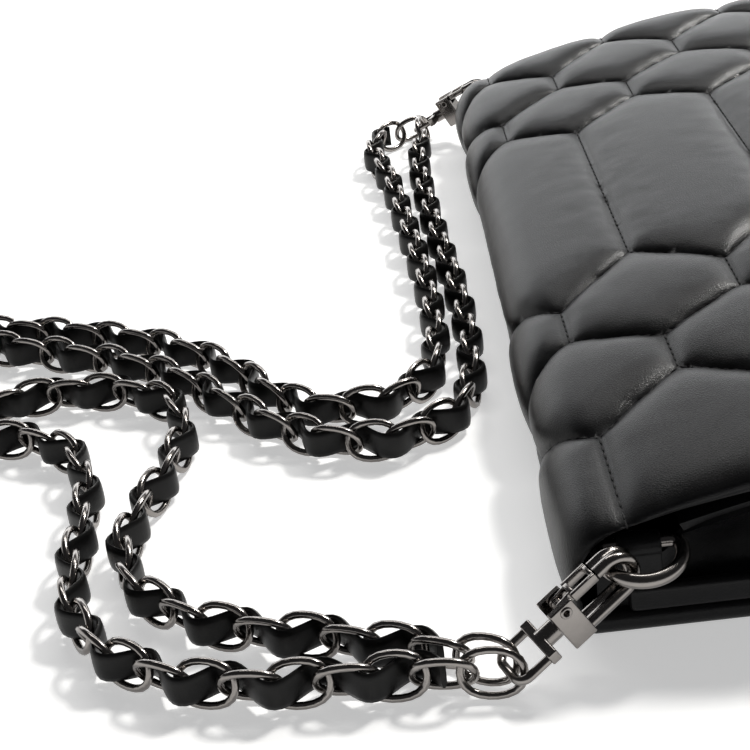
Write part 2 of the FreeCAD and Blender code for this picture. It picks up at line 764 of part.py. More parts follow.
def gate(side, place):
    """The spring lever that closes the hook: a channel, open outwards, on two lugs."""
    foot = "block_start + block_height + gate_block_gap"
    tip = "block_start + block_height + hook_leg_length - hook_nose_length - gate_tip_gap"
    channel = box(
        f"{side}_channel", "hook_thick", "hook_depth", f"{tip} - ({foot})",
        x="-block_width/2", y="-hook_depth/2", z=foot,
    )
    trough = box(
        f"{side}_trough", "hook_thick", "hook_depth - 2*gate_wall", f"{tip} - ({foot}) - 2*gate_wall",
        x="-block_width/2 - gate_wall", y="-hook_depth/2 + gate_wall", z=f"{foot} + gate_wall",
    )
    pivot_x, pivot_z = "-block_width/2 + pivot_from_side", "block_start + pivot_from_floor"
    lug = cylinder(
        f"{side}_lug", "gate_lug_radius", "gate_tongue_depth",
        x=pivot_x, y="-gate_tongue_depth/2", z=pivot_z, turn=ALONG_Y,
    )
    neck = box(
        f"{side}_neck", "pivot_from_side + gate_slot_gap", "gate_tongue_depth",
        f"{foot} + gate_wall - ({pivot_z})",
        x="-block_width/2", y="-gate_tongue_depth/2", z=pivot_z,
    )
    fork = box(
        f"{side}_fork", "block_width", "gate_tongue_depth - 2*gate_lug_thick",
        "block_height + gate_block_gap - pivot_from_floor + gate_lug_radius",
        x="-block_width", y="-gate_tongue_depth/2 + gate_lug_thick",
        z=f"{pivot_z} - gate_lug_radius - gate_slot_gap",
    )
    hole = cylinder(
        f"{side}_lug_hole", "pin_radius + pin_running_gap", "gate_tongue_depth + 2*overrun",
        x=pivot_x, y="-gate_tongue_depth/2 - overrun", z=pivot_z, turn=ALONG_Y,
    )
    lever = cut(
        f"{side}_lever", fused(f"{side}_lever_blank", channel, lug, neck), trough, fork, hole
    )
    keep(lever, f"{side}_gate", place)


def gate_pin(side, place):
    """The hollow rivet that the gate turns on."""
    pivot_x, pivot_z = "-block_width/2 + pivot_from_side", "block_start + pivot_from_floor"
    shaft = cylinder(
        f"{side}_shaft", "pin_radius", "block_depth",
        x=pivot_x, y="-block_depth/2", z=pivot_z, turn=ALONG_Y,
    )
    heads = [
        cylinder(
            f"{side}_{name}_head", "pin_head_radius", "pin_head_thick",
            x=pivot_x, y=start, z=pivot_z, turn=ALONG_Y,
        )
        for name, start in (("front", "-block_depth/2 - pin_head_thick"), ("rear", "block_depth/2"))
    ]
    bore = cylinder(
        f"{side}_pin_bore", "pin_bore_radius", "block_depth + 2*pin_head_thick + 2*overrun",
        x=pivot_x, y="-block_depth/2 - pin_head_thick - overrun", z=pivot_z, turn=ALONG_Y,
    )
    rivet = cut(f"{side}_rivet", fused(f"{side}_rivet_blank", shaft, *heads), bore)
    keep(rivet, f"{side}_gate_pin", place)


def gate_spring(side, place):
    """A small torsion spring round the rivet, between the gate's lugs."""
    radius, pitch = size("spring_radius"), size("spring_pitch")
    pivot = Vector(
        size("pivot_from_side") - size("block_width") / 2, 0,
        size("block_start") + size("pivot_from_floor"),
    )

    def on_coil(quarter):
        angle = quarter * math.pi / 2
        rise = (quarter / 4 - SPRING_TURNS / 2) * pitch
        return pivot + Vector(radius * math.cos(angle), rise, radius * math.sin(angle))

    quarters = range(4 * SPRING_TURNS)
    coil = [Part.Arc(on_coil(q), on_coil(q + 0.5), on_coil(q + 1)).toShape() for q in quarters]
    start = on_coil(0)
    leg = Part.makeLine(start - Vector(0, 0, size("spring_leg")), start)
    keep(feature(f"{side}_coil", swept(size("spring_wire_radius"), [leg, *coil])), f"{side}_gate_spring", place)


def eye_turn(place):
    """How far the eye is turned about the clasp's axis, so that its bar lies level."""
    level = place.Rotation.inverted().multVec(Vector(0, 0, 1))
    return math.degrees(math.atan2(level.y, level.x)) + 90


def swivel_eye(side, place):
    """The eye that holds the chain, with the stem that turns in the block."""
    half, long = size("eye_half_width"), size("eye_length")
    loop = bent(
        [Vector(-half, 0, long), Vector(-half, 0, 0), Vector(half, 0, 0), Vector(half, 0, long)],
        size("eye_corner_radius"), False,
    )
    wire = feature(f"{side}_loop_wire", swept(size("eye_wire_radius"), loop))
    base = rounded(
        f"{side}_eye_base",
        box(
            f"{side}_eye_bar", "2*(eye_half_width + eye_wire_radius)", "eye_base_depth",
            "eye_base_thick",
            x="-eye_half_width - eye_wire_radius", y="-eye_base_depth/2", z="eye_length",
        ),
        "block_round", lambda edge: True,
    )
    collar = cylinder(
        f"{side}_collar", "collar_radius", "block_start - stem_gap - eye_length - eye_base_thick/2",
        z="eye_length + eye_base_thick/2",
    )
    stem = cylinder(
        f"{side}_stem", "stem_radius", "block_start + stem_floor + stem_gap - eye_length",
        z="eye_length + stem_gap",
    )
    head = cylinder(
        f"{side}_stem_head", "stem_head_radius", "stem_head_thick",
        z="block_start + stem_floor + stem_gap",
    )
    turned = place.multiply(Placement(Vector(), Rotation(Vector(0, 0, 1), eye_turn(place))))
    keep(fused(f"{side}_eye_whole", wire, base, collar, stem, head), f"{side}_eye", turned)
    return turned


class Route:
    """A strand's line on the floor: straight runs joined by tangent arcs as large as they allow."""

    SHARE = 0.45

    def __init__(self, points):
        self.pieces = []
        self.radii = []
        spots = [Vector(x, y, 0) for x, y in points]
        start = spots[0]
        for before, corner, after in zip(spots, spots[1:], spots[2:]):
            back, on = before - corner, after - corner
            reach = self.SHARE * min(back.Length, on.Length)
            back, on = back.normalize(), on.normalize()
            half = back.getAngle(on) / 2
            self.radii.append(reach * math.tan(half))
            centre = corner + (back + on).normalize() * (reach / math.cos(half))
            self._line(start, corner + back * reach)
            self._arc(corner + back * reach, corner + on * reach, centre)
            start = corner + on * reach
        self._line(start, spots[-1])
        self.length = sum(piece[0] for piece in self.pieces)

    def _line(self, a, b):
        along = b - a
        length = along.Length
        along = along.normalize()
        self.pieces.append((length, lambda s: (a + along * s, along)))

    def _arc(self, a, b, centre):
        radius = (a - centre).Length
        turn = (a - centre).getAngle(b - centre)
        way = 1 if (a - centre).cross(b - centre).z > 0 else -1

        def at(s):
            angle = way * math.degrees(s / radius)
            arm = Rotation(Vector(0, 0, 1), angle).multVec(a - centre)
            return centre + arm, Vector(0, 0, way).cross(arm).normalize()

        self.pieces.append((radius * turn, at))

    def at(self, s):
        """The point and the direction at a distance along the route."""
        for length, piece in self.pieces[:-1]:
            if s <= length:
                return piece(s)
            s -= length
        _, last = self.pieces[-1]
        return last(s)


def link_shape():
    """A flat oval of round wire in the XZ plane, made of four tangent arcs."""
    a, b = size("link_half_length"), size("link_half_height")
    end = size("link_end_radius")
    side = (a * a + b * b - 2 * a * end) / (2 * (b - end))
    end_centre, side_drop = a - end, side - b
    lean = Vector(end_centre, 0, side_drop).normalize()
    join = Vector(end_centre, 0, 0) + lean * end

    def flip(point, x, z):
        return Vector(x * point.x, 0, z * point.z)

    tops = [flip(join, -1, 1), Vector(0, 0, b), join]
    edges = [
        Part.Arc(*tops),
        Part.Arc(join, Vector(a, 0, 0), flip(join, 1, -1)),
        Part.Arc(flip(join, 1, -1), Vector(0, 0, -b), flip(join, -1, -1)),
        Part.Arc(flip(join, -1, -1), Vector(-a, 0, 0), flip(join, -1, 1)),
    ]
    return swept(size("link_wire_radius"), [e.toShape() for e in edges])


def hung(points, first, last):
    """A route with its ends set so that each end link hangs on the wire of an eye.

    Each end is the wire's point that the link holds and the way that the wire runs there.
    """
    wires = size("eye_wire_radius") + size("link_wire_radius") + size("end_gap")
    ends = []
    for (spot, way), beside in ((first, points[0]), (last, points[-1])):
        inward = Vector(beside[0] - spot.x, beside[1] - spot.y, 0).normalize()
        slant = inward.cross(way).Length
        end = spot + inward * (size("link_half_length") - size("link_pitch") / 2 - wires / slant)
        ends.append((end.x, end.y))
    return [ends[0], *points, ends[1]]


def strand(name, points, end_lift):
    """One strand of the chain, its links tilted to and fro, and the lace woven through them."""
    route = Route(points)
    count = round(route.length / size("link_pitch"))
    joints = [route.at(route.length * i / count) for i in range(count + 1)]
    height = Vector(0, 0, chain_height())
    base = link_shape()
    links, centres = [], []
    for i, ((a, _), (b, _)) in enumerate(zip(joints, joints[1:])):
        heading = math.degrees(math.atan2(b.y - a.y, b.x - a.x))
        tilt = Rotation(Vector(1, 0, 0), LINK_TILT_DEG * (-1) ** i)
        turn = Rotation(Vector(0, 0, 1), heading).multiply(tilt)
        centres.append((a + b) / 2)
        link = base.copy()
        lift = end_lift if i == count - 1 else 0
        link.Placement = Placement(centres[-1] + height + Vector(0, 0, lift), turn)
        links.append(link)
    keep(feature(f"{name}_chain", Part.makeCompound(links)), f"{name}_links")
    lace = lace_shape(joints, centres)
    keep(feature(f"{name}_ribbon", lace), f"{name}_lace")
    gaps = [p.distToShape(q)[0] for p, q in zip(links, links[1:])]
    print(f"{name}: {len(links)} links along {route.length:.0f} mm, least radius {min(route.radii):.1f} mm, "
          f"least gap between links {min(gaps):.2f} mm")


def lace_shape(joints, centres):
    """A leather ribbon on edge that passes each joint of the links on the other side in turn."""
    half = size("lace_thick") / 2
    waves = []
    for i in range(BARE_LINKS, len(centres) - BARE_LINKS - 1):
        joint, along = joints[i + 1]
        way = (-1) ** i
        crest = joint + Vector(-along.y, along.x, 0) * (way * size("lace_swing"))
        middle = Part.Arc(centres[i], crest, centres[i + 1]).toShape().Curve.Center
        waves.append((centres[i], crest, centres[i + 1], middle, way))

    def left_of(wave, point):
        return (point - wave[3]).normalize() * wave[4]

    def side(shift):
        edges = []
        for i, wave in enumerate(waves):
            spots = []
            for end, other in ((wave[0], i - 1), (wave[2], i + 1)):
                normal = left_of(wave, end)
                if 0 <= other < len(waves):
                    normal = (normal + left_of(waves[other], end)).normalize()
                spots.append(end + normal * shift)
            crest = wave[1] + left_of(wave, wave[1]) * shift
            edges.append(Part.Arc(spots[0], crest, spots[1]).toShape())
        return edges

    left, right = side(half), side(-half)
    caps = [
        Part.makeLine(left[0].firstVertex().Point, right[0].firstVertex().Point),
        Part.makeLine(left[-1].lastVertex().Point, right[-1].lastVertex().Point),
    ]
    outline = Part.Wire(Part.__sortEdges__([*left, *right, *caps]))
    width = size("lace_width")
    ribbon = Part.Face(outline).extrude(Vector(0, 0, width))
    ribbon.translate(Vector(0, 0, chain_height() - width / 2))
    return ribbon


back_panel()
spine()
flap()
front_panel()
back_lining()
base_gusset()
snap()
places, eyes = {}, {}
for side, sign in SIDES.items():
    side_gusset(side, sign)
    tab(side, sign)
    keep(feature(f"{side}_bow", ring_shape()), f"{side}_ring", ring_placement(sign))
    place = clasp_frame(sign)
    places[side] = place
    hook_body(side, place)
    gate(side, place)
    gate_pin(side, place)
    gate_spring(side, place)
    eyes[side] = swivel_eye(side, place)

# At the left both strands hang on the eye's bar. At the right the inner one hangs on its side.


def eye_wire(side, x, z, way):
    """A point of an eye's wire, and the way that the wire runs there."""
    return eyes[side].multVec(Vector(x, 0, z)), eyes[side].Rotation.multVec(way)


ACROSS, ALONG = Vector(1, 0, 0), Vector(0, 0, 1)
near_outer = eye_wire("left", size("outer_hold"), 0, ACROSS)
near_inner = eye_wire("left", -size("inner_hold"), 0, ACROSS)
far_outer = eye_wire("right", size("far_hold"), 0, ACROSS)
far_inner = eye_wire("right", size("eye_half_width"), size("side_hold"), ALONG)
strand("outer", hung(OUTER_ROUTE, near_outer, far_outer), 0)
strand("inner", hung(INNER_ROUTE, near_inner, far_inner), size("far_lift"))

doc.recompute()
for obj in doc.Objects:
    if "Invalid" in obj.State or "Error" in obj.State:
        raise SystemExit(f"{obj.Label} failed: {obj.State}")
for obj in PARTS:
    if obj.Shape.isNull() or not obj.Shape.isValid():
        raise SystemExit(f"{obj.Label} has no valid shape")
os.makedirs("parts", exist_ok=True)
for obj in PARTS:
    obj.Shape.exportStep(f"parts/{obj.Label}.step")

print("flap hinge at", [round(c, 3) for c in hinge_axis])
for side, place in places.items():
    pivot = Vector(
        size("pivot_from_side") - size("block_width") / 2, 0,
        size("block_start") + size("pivot_from_floor"),
    )
    print(side, "eye", [round(c, 3) for c in place.Base],
          "axis", [round(c, 5) for c in place.Rotation.multVec(Vector(0, 0, 1))],
          "pivot", [round(c, 3) for c in place.multVec(pivot)],
          "pivot axis", [round(c, 5) for c in place.Rotation.multVec(Vector(0, 1, 0))])
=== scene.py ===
"""Looks of the chain shoulder bag: quilted leather, woven chain strap and clasps, in a white studio.

Lengths are written in millimetres and turned to metres where a mesh is made.
The studio is in metres.
"""

import json
import math

import bmesh
import bpy
import numpy as np
from mathutils import Matrix, Vector, noise


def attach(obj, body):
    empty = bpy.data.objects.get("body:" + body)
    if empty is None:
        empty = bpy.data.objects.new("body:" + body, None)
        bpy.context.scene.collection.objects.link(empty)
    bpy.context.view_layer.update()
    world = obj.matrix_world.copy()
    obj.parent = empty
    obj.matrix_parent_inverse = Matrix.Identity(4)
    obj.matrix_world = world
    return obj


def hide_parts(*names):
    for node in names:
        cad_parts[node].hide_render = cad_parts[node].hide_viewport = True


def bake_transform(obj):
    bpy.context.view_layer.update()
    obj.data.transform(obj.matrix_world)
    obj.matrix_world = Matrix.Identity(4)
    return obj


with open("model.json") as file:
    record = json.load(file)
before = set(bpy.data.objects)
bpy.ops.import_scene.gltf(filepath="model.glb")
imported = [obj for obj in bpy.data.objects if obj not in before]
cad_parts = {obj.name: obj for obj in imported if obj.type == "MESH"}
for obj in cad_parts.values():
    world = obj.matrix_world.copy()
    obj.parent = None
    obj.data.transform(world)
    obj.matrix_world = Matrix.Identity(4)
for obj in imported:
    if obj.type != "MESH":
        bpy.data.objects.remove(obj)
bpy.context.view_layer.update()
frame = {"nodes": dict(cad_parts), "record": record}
MM = 0.001
SIDES = {"left": -1, "right": 1}

# Camera: its place, where it looks and how it is held
CAMERA_PLACE = (-372.5, 106.7, 195.0)
CAMERA_HEADING_DEG = 1.99
CAMERA_PITCH_DEG = -29.08
CAMERA_ROLL_DEG = 7.72
CAMERA_LENS = 71.5
CAMERA_CLIP = 0.01

# Flap: the arc that its seams lie on, the fold behind it, and its rolled edges
ARC_Y = -36.0
ARC_Z = -323.3
SEAM_RADIUS = 364.9
FOLD_START = 72.0
FOLD_RADIUS = 13.0
FOLD_END_DEG = -97.0
FLAP_HALF = 141.0
ROLL_WIDTH = 12.0
ROLL_SHARE = 0.72
ROLL_DROP_SHARE = 0.65
FLAP_FREE = -74.0
COVER_FOOT = 100.0
HEM_DEPTHS = ((-80.0, 3.9), (40.0, 3.0), (60.0, 1.5), (74.0, 1.2), (90.0, 0.9), (101.0, 0.2))
HEM_LEAN_SHARE = 0.5

# Quilting: zigzag seams across the bag, each given by the places of its even and odd corners along X
QUILT_FIRST = 50.8
QUILT_STEP = 20.1
QUILT_CELLS = 15
QUILT_CELL = QUILT_STEP / QUILT_CELLS
CUT_ROOM = 4.0
ZIGZAGS = ((-90.5, -107.0), (-75.5, -64.0), (-30.5, -48.5), (57.0, 71.0), (98.0, 86.0), (112.0, 128.0))
PUFF_HEIGHT = 3.4
PUFF_REACH = 3.7
FILL_ROUNDS = 400
GRID_NEIGHBOURS = 4
SEWN_REACH = 0.05
FOOT_REACH = 0.1
SKIN_THICK = 1.1
STITCH_PITCH = 2.7
STITCH_SIZE = (2.1, 0.5, 0.42)
STITCH_LIFT = 0.25
STITCH_SHARES = (0.3, 0.7)

# Puckers beside the seams. Ripples have their waves per millimetre across and along, and a seed
PUCKER_HEIGHT = 0.16
PUCKER_START = 1.5
PUCKER_FADE = 9.0
WIDE_RIPPLE = (0.1, 0.13, 3.1)
WIDE_RIPPLE_SHARE = 1.4
FINE_RIPPLE = (0.24, 0.3, 7.7)

# Filling of the quilted cover, as cloth under pressure
FILLING_STEPS = 14
FILLING_CAP = 0.7
FILLING_SETTINGS = {
    "quality": 4, "mass": 0.2, "tension_stiffness": 20, "compression_stiffness": 20, "shear_stiffness": 10,
    "bending_stiffness": 0.6, "shrink_min": -0.025, "use_pressure": True, "uniform_pressure_force": 2.0,
}

# Pocket under the flap
FRONT_RADIUS = 361.85
FRONT_HALF = 136.8
FRONT_MOUTH = 61.0
FRONT_BASE = -82.6
FRONT_PUFF = 2.2
FRONT_THICK = 2.0
FRONT_HEM = 3.0
FRONT_GRID_SHARE = 0.7
GUSSET_FACE = 137.0
GUSSET_BOW = 5.0
GUSSET_TOP = 77.0
GUSSET_STEP = 17.0
GUSSET_UNDER = 4.5
GUSSET_STEP_START = 60.0
GUSSET_STEP_LENGTH = 4.0
GUSSET_EASE = 14.0
GUSSET_FOLD_POWER = 0.8
GUSSET_GRID = (120, 18)
SIDE_WAVE = 1.6
SIDE_RIPPLE = (0.035, 0.1)
SIDE_SEED = 4.0
BACK_WIDTH = 280.0
BACK_HEIGHT = 170.0
BACK_THICK = 5.0
BACK_FOLD_INSET = 5.0
BACK_ROUND = 2.2
BACK_SEGMENTS = 5
SIDE_THICK = 1.4
BASE_FACE = -83.4
BASE_TOP = 35.0
BASE_BOW = 2.8
BASE_ROUND = 9.0
BASE_DIP = 1.3
BASE_BOW_POWER = 0.6
BASE_SAG = 0.9
BASE_SAG_RIPPLE = (0.018, 0.06, 9.0)
BASE_CREASE = 0.3
BASE_CREASE_RIPPLE = (0.07, 0.05, 2.0)
BASE_GRID = (180, 22)
BAND_REACH = (137.1, 140.0)
BAND_ENDS = (-83.0, 71.0)
BAND_TOP = 11.0
BAND_ROUND = 1.35
BAND_SEGMENTS = 6

# Linings: each with its half width, its two ends and its level, a radius of the flap's arc or a height
LINING_THICK = 0.5
LINING_SLACK = 0.18
LINING_RIPPLE = (0.025, 0.04)
LINING_GRID = (120, 66)
BACK_LINING = (133.7, -81.5, 59.5, 5.45)
FRONT_LINING = (133.7, -79.8, 56.6, 356.85)
FLAP_LINING = (136.0, -67.5, 69.0, 362.6)
POCKET_HALF = (80.0, 47.5)
POCKET_ROUND = 6.0
POCKET_LEVEL = 6.3
POCKET_HEM = 3.5
POCKET_SWELL = 0.25
POCKET_GRID = (90, 54)

# Tabs that hold the rings: strips folded over the ring bars
TAB_PLACE = (136.1, 68.5)
TAB_WIDTH = 9.0
TAB_FOOT = 11.4
TAB_BAR = 19.3
TAB_FOLD = 2.1
TAB_LEG = 1.45
TAB_THICK = 1.0
TAB_WAIST_SHARE = 0.05
TAB_ROUND_SHARE = 0.3
TAB_SEGMENTS = 3
TAB_GRID = (48, 10)

# Clasps: the eye's place, the way through the block and the way to the hook
CLASP_PLACES = {
    "left": ((-152.502, 96.607, 4.836), (0.93383, 0.3489, -0.07894), (0.34231, -0.8075, 0.48039)),
    "right": ((152.502, 96.607, 4.836), (0.93383, -0.3489, 0.07894), (-0.34231, -0.8075, 0.48039)),
}
RAIL = (-5.2, -3.3, 18.4, 24.35)
RAIL_SIDES = (1.4, 2.4)
RAIL_BARS = ((18.4, 19.4), (23.5, 24.35))
LUG_SIDES = (0.78, 1.48)
PIVOT = (-3.5, 15.5)
LUG_RADIUS = 1.4
LUG_STEPS = 8
EDGE_ROUND = 0.16
EDGE_SEGMENTS = 2
RIVET_TUBE = 0.78
RIVET_WALL = 0.16
RIVET_HEAD = (0.93, 0.34)
RIVET_SEGMENTS = (28, 10)
BLOCK_HALF_DEPTH = 3.0

# Chain and lace
LINK_HALF_LENGTH = 6.2
LINK_HALF_HEIGHT = 4.6
LINK_WIRE = 0.85
LINK_PITCH = 9.35
LINK_TILT_DEG = 20.0
LINK_FULL_SHARE = 0.045
LINK_SEGMENTS = (22, 8)
CHAIN_HEIGHT = 5.27
FAR_LIFT = 1.4
BARE_LINKS = 1
LACE_WIDTH = 7.2
LACE_THICK = 1.5
LACE_SWING = 3.15
LACE_POINTS = 12
LACE_STEPS = 8
LACE_POWERS = (0.6, 0.75)
ROUTE_RESOLUTION = 24
OUTER_ROUTE = [
    (-153.5, 95.2), (-150.2, 117.0), (-150.0, 138.5), (-147.0, 157.5), (-138.0, 174.0), (-124.5, 184.5),
    (-107.0, 188.5), (-87.0, 188.0), (-66.5, 189.5), (-51.0, 197.0), (-42.2, 211.0),
    (-41.2, 228.0), (-42.0, 247.0), (-33.5, 264.0), (-16.5, 273.0), (3.5, 271.0), (18.5, 259.5),
    (24.0, 241.5), (17.5, 217.0), (8.0, 193.0), (-2.0, 175.5), (-13.0, 162.5), (-25.5, 152.0),
    (-39.5, 143.5), (-46.9, 132.0), (-48.0, 120.2), (-43.0, 109.5), (-33.3, 102.8),
    (-12.0, 100.9), (25.0, 102.4), (70.0, 106.4), (100.0, 109.0), (117.0, 112.6),
    (129.8, 114.6), (137.4, 113.2), (144.0, 109.3), (148.9, 103.4), (152.7, 95.3),
]
INNER_ROUTE = [
    (-150.5, 96.2), (-142.5, 116.0), (-136.0, 134.0), (-130.5, 153.0), (-120.0, 168.5), (-105.5, 177.5),
    (-89.0, 177.0), (-72.5, 171.5), (-56.0, 167.5), (-42.5, 168.0), (-31.5, 174.0),
    (-25.0, 184.5), (-21.4, 198.0), (-21.4, 212.1), (-24.2, 220.4), (-29.8, 227.4),
    (-33.2, 238.8), (-30.8, 250.2), (-23.4, 259.2), (-12.4, 263.2), (-0.8, 262.2), (8.8, 255.8),
    (14.0, 245.6), (13.6, 234.2), (6.5, 217.0), (-2.5, 199.0), (-12.0, 182.5), (-24.0, 168.0),
    (-39.0, 156.5), (-53.5, 143.0), (-63.2, 128.3), (-65.2, 115.2), (-60.2, 102.8),
    (-49.6, 94.8), (-30.0, 92.6), (5.0, 93.0), (50.0, 96.6), (88.0, 98.6), (112.0, 98.8),
    (131.0, 97.4), (147.5, 94.8),
]

# Smoothing: faces that meet at less than these angles shade as one
BOX_SMOOTH_DEG = 40.0
QUILT_SMOOTH_DEG = 75.0
SKIN_SMOOTH_DEG = 60.0
GATE_SMOOTH_DEG = 35.0
RIVET_SMOOTH_DEG = 50.0
LINK_SMOOTH_DEG = 80.0

# Grain of the finishes: scales per metre or as shares of the grain, and bumps with their strength and depth
LEATHER_SPECULAR = 0.2
LEATHER_BUMP = 0.6
PORE_SHARE = 2.3
CREASE_SHARE = 0.16
PATCHES_PER_METRE = 22.0
ROUGH_SHARES = (0.65, 0.35)
GRAIN_SHARES = (0.8, 0.35, 0.12)
HAZE_PER_METRE = 160.0
SPECKS_PER_METRE = 2600.0
METAL_BUMP = (0.08, 0.00004)
SLUBS_PER_METRE = 420.0
CLOTH_ROUGH = (0.72, 0.2)
CLOTH_BUMP = (0.4, 0.00012)
WAVE_UNIT = 20

# Studio: how floor and walls show, the fill from all round, and lamps with place, aim, size, power and tint
FLOOR_TONES = ((0.86, 0.86, 0.86, 1), (0.9, 0.9, 0.895, 1))
FLOOR_TONE_SCALE = 1.5
FLOOR_GLOW = 0.48
FLOOR_SIZE = 12.0
FLOOR_FADE = 2.6
FLOOR_FADE_SHARE = 0.3
WALL_STOPS = ((0.0, (1, 1, 1)), (0.12, (1, 1, 1)), (0.25, (0.04, 0.04, 0.042)))
WORLD_FILL = 0.06
FILL_TINT = (0.92, 0.96, 1.0, 1)
LAMPS = (
    ("far_wall", (2.2, 0.2, 0.66), (0.0, 0.05, 0.05), (3.6, 0.8), 22.0, (0.97, 0.985, 1.0)),
    ("key", (0.66, -0.66, 1.2), (0.0, 0.05, 0.0), (0.22, 0.22), 18.0, (1.0, 0.985, 0.95)),
    ("strip", (0.86, -0.1, 1.23), (0.0, 0.0, 0.04), (1.6, 0.22), 8.0, (1.0, 0.99, 0.97)),
)


# Finishes
class Value:
    """A node's output, with the arithmetic that the finishes are written in."""

    def __init__(self, finish, socket):
        self.finish = finish
        self.socket = socket

    def maths(self, operation, *terms):
        sockets = {"Value" if i == 0 else f"Value_{i:03d}": t for i, t in enumerate(terms)}
        return self.finish.node("ShaderNodeMath", {"operation": operation}, sockets)

    def __add__(self, other):
        return self.maths("ADD", self, other)

    def __radd__(self, other):
        return self.maths("ADD", other, self)

    def __mul__(self, other):
        return self.maths("MULTIPLY", self, other)

    def __rmul__(self, other):
        return self.maths("MULTIPLY", other, self)

    def __pow__(self, other):
        return self.maths("POWER", self, other)


class Finish:
    """A material or a world, and the nodes that make it."""

    def __init__(self, holder):
        self.holder = holder
        self.holder.use_nodes = True
        self.tree = self.holder.node_tree
        self.tree.nodes.clear()

    def node(self, kind, settings, sockets, output=0):
        made = self.tree.nodes.new(kind)
        for name, value in settings.items():
            if name == "stops":
                self.set_stops(made.color_ramp, value)
            else:
                setattr(made, name, value)
        for name, value in sockets.items():
            socket = next(s for s in made.inputs if s.identifier == name)
            if isinstance(value, Value):
                self.tree.links.new(value.socket, socket)
            else:
                socket.default_value = value
        return Value(self, made.outputs[output]) if made.outputs else None

    @staticmethod
    def set_stops(ramp, stops):
        for i, (place, colour) in enumerate(stops):
            stop = ramp.elements[i] if i < 2 else ramp.elements.new(place)
            stop.position = place
            stop.color = (*colour, 1)

    def place(self):
        return self.node("ShaderNodeTexCoord", {}, {}, 3)

    def noise(self, scale, detail=3.0, rough=0.55):
        sockets = {"Vector": self.place(), "Scale": scale, "Detail": detail, "Roughness": rough}
        return self.node("ShaderNodeTexNoise", {}, sockets)

    def cells(self, scale, feature):
        sockets = {"Vector": self.place(), "Scale": scale}
        return self.node("ShaderNodeTexVoronoi", {"feature": feature}, sockets)

    def ramp(self, value, stops):
        return self.node("ShaderNodeValToRGB", {"stops": stops}, {"Fac": value})

    def mixed(self, share, first, second):
        sockets = {"Factor_Float": share, "A_Color": first, "B_Color": second}
        return self.node("ShaderNodeMix", {"data_type": "RGBA"}, sockets, 2)

    def bump(self, height, strength, distance):
        sockets = {"Height": height, "Strength": strength, "Distance": distance}
        return self.node("ShaderNodeBump", {}, sockets)

    def shown(self):
        """One for rays that show a surface: straight to the camera, mirrored or through glass."""
        seen = self.node("ShaderNodeLightPath", {}, {}, 0)
        glossy = self.node("ShaderNodeLightPath", {}, {}, 3)
        clear = self.node("ShaderNodeLightPath", {}, {}, 6)
        return seen.maths("MAXIMUM", seen.maths("MAXIMUM", seen, glossy), clear)

    def surface(self, **sockets):
        named = {name.replace("_", " "): value for name, value in sockets.items()}
        shader = self.node("ShaderNodeBsdfPrincipled", {}, named)
        self.node("ShaderNodeOutputMaterial", {}, {"Surface": shader})
        return self.holder


def leather(name, dark, light, grain_per_metre, grain_depth, least_rough, most_rough):
    """Black leather with a pebbled grain, fine creases and patches of handling shine."""
    finish = Finish(bpy.data.materials.new(name))
    pebbles = finish.cells(grain_per_metre, "DISTANCE_TO_EDGE")
    pores = finish.noise(grain_per_metre * PORE_SHARE)
    creases = finish.noise(grain_per_metre * CREASE_SHARE, 5.0, 0.62)
    patches = finish.noise(PATCHES_PER_METRE, 2.0)
    by_patch, by_crease = ROUGH_SHARES
    rough = least_rough + (most_rough - least_rough) * (by_patch * patches + by_crease * creases)
    colour = finish.mixed(creases, (*dark, 1), (*light, 1))
    of_pebbles, of_pores, of_creases = GRAIN_SHARES
    height = of_pebbles * pebbles ** 0.5 + of_pores * pores + of_creases * creases
    return finish.surface(
        Base_Color=colour, Roughness=rough, Specular_IOR_Level=LEATHER_SPECULAR,
        Normal=finish.bump(height, LEATHER_BUMP, grain_depth),
    )


def metal(name, dark, light, least_rough, most_rough):
    """Polished dark metal, with faint specks and duller patches."""
    finish = Finish(bpy.data.materials.new(name))
    haze = finish.noise(HAZE_PER_METRE, 4.0)
    specks = finish.noise(SPECKS_PER_METRE, 2.0)
    rough = least_rough + (most_rough - least_rough) * haze
    colour = finish.mixed(haze, (*dark, 1), (*light, 1))
    return finish.surface(
        Base_Color=colour, Roughness=rough, Metallic=1.0, Normal=finish.bump(specks, *METAL_BUMP),
    )


def cloth(name, dark, light, threads_per_metre):
    """Fine plain weave."""
    finish = Finish(bpy.data.materials.new(name))
    turns = 2 * math.pi * threads_per_metre / WAVE_UNIT
    waves = []
    for axis in ("X", "Y"):
        settings = {"wave_type": "BANDS", "bands_direction": axis}
        sockets = {"Vector": finish.place(), "Scale": turns}
        waves.append(finish.node("ShaderNodeTexWave", settings, sockets, 1))
    weave = waves[0] * waves[1]
    slubs = finish.noise(SLUBS_PER_METRE)
    colour = finish.mixed(0.5 * weave + 0.5 * slubs, (*dark, 1), (*light, 1))
    least_rough, by_slub = CLOTH_ROUGH
    rough = least_rough + by_slub * slubs
    return finish.surface(Base_Color=colour, Roughness=rough, Normal=finish.bump(weave, *CLOTH_BUMP))


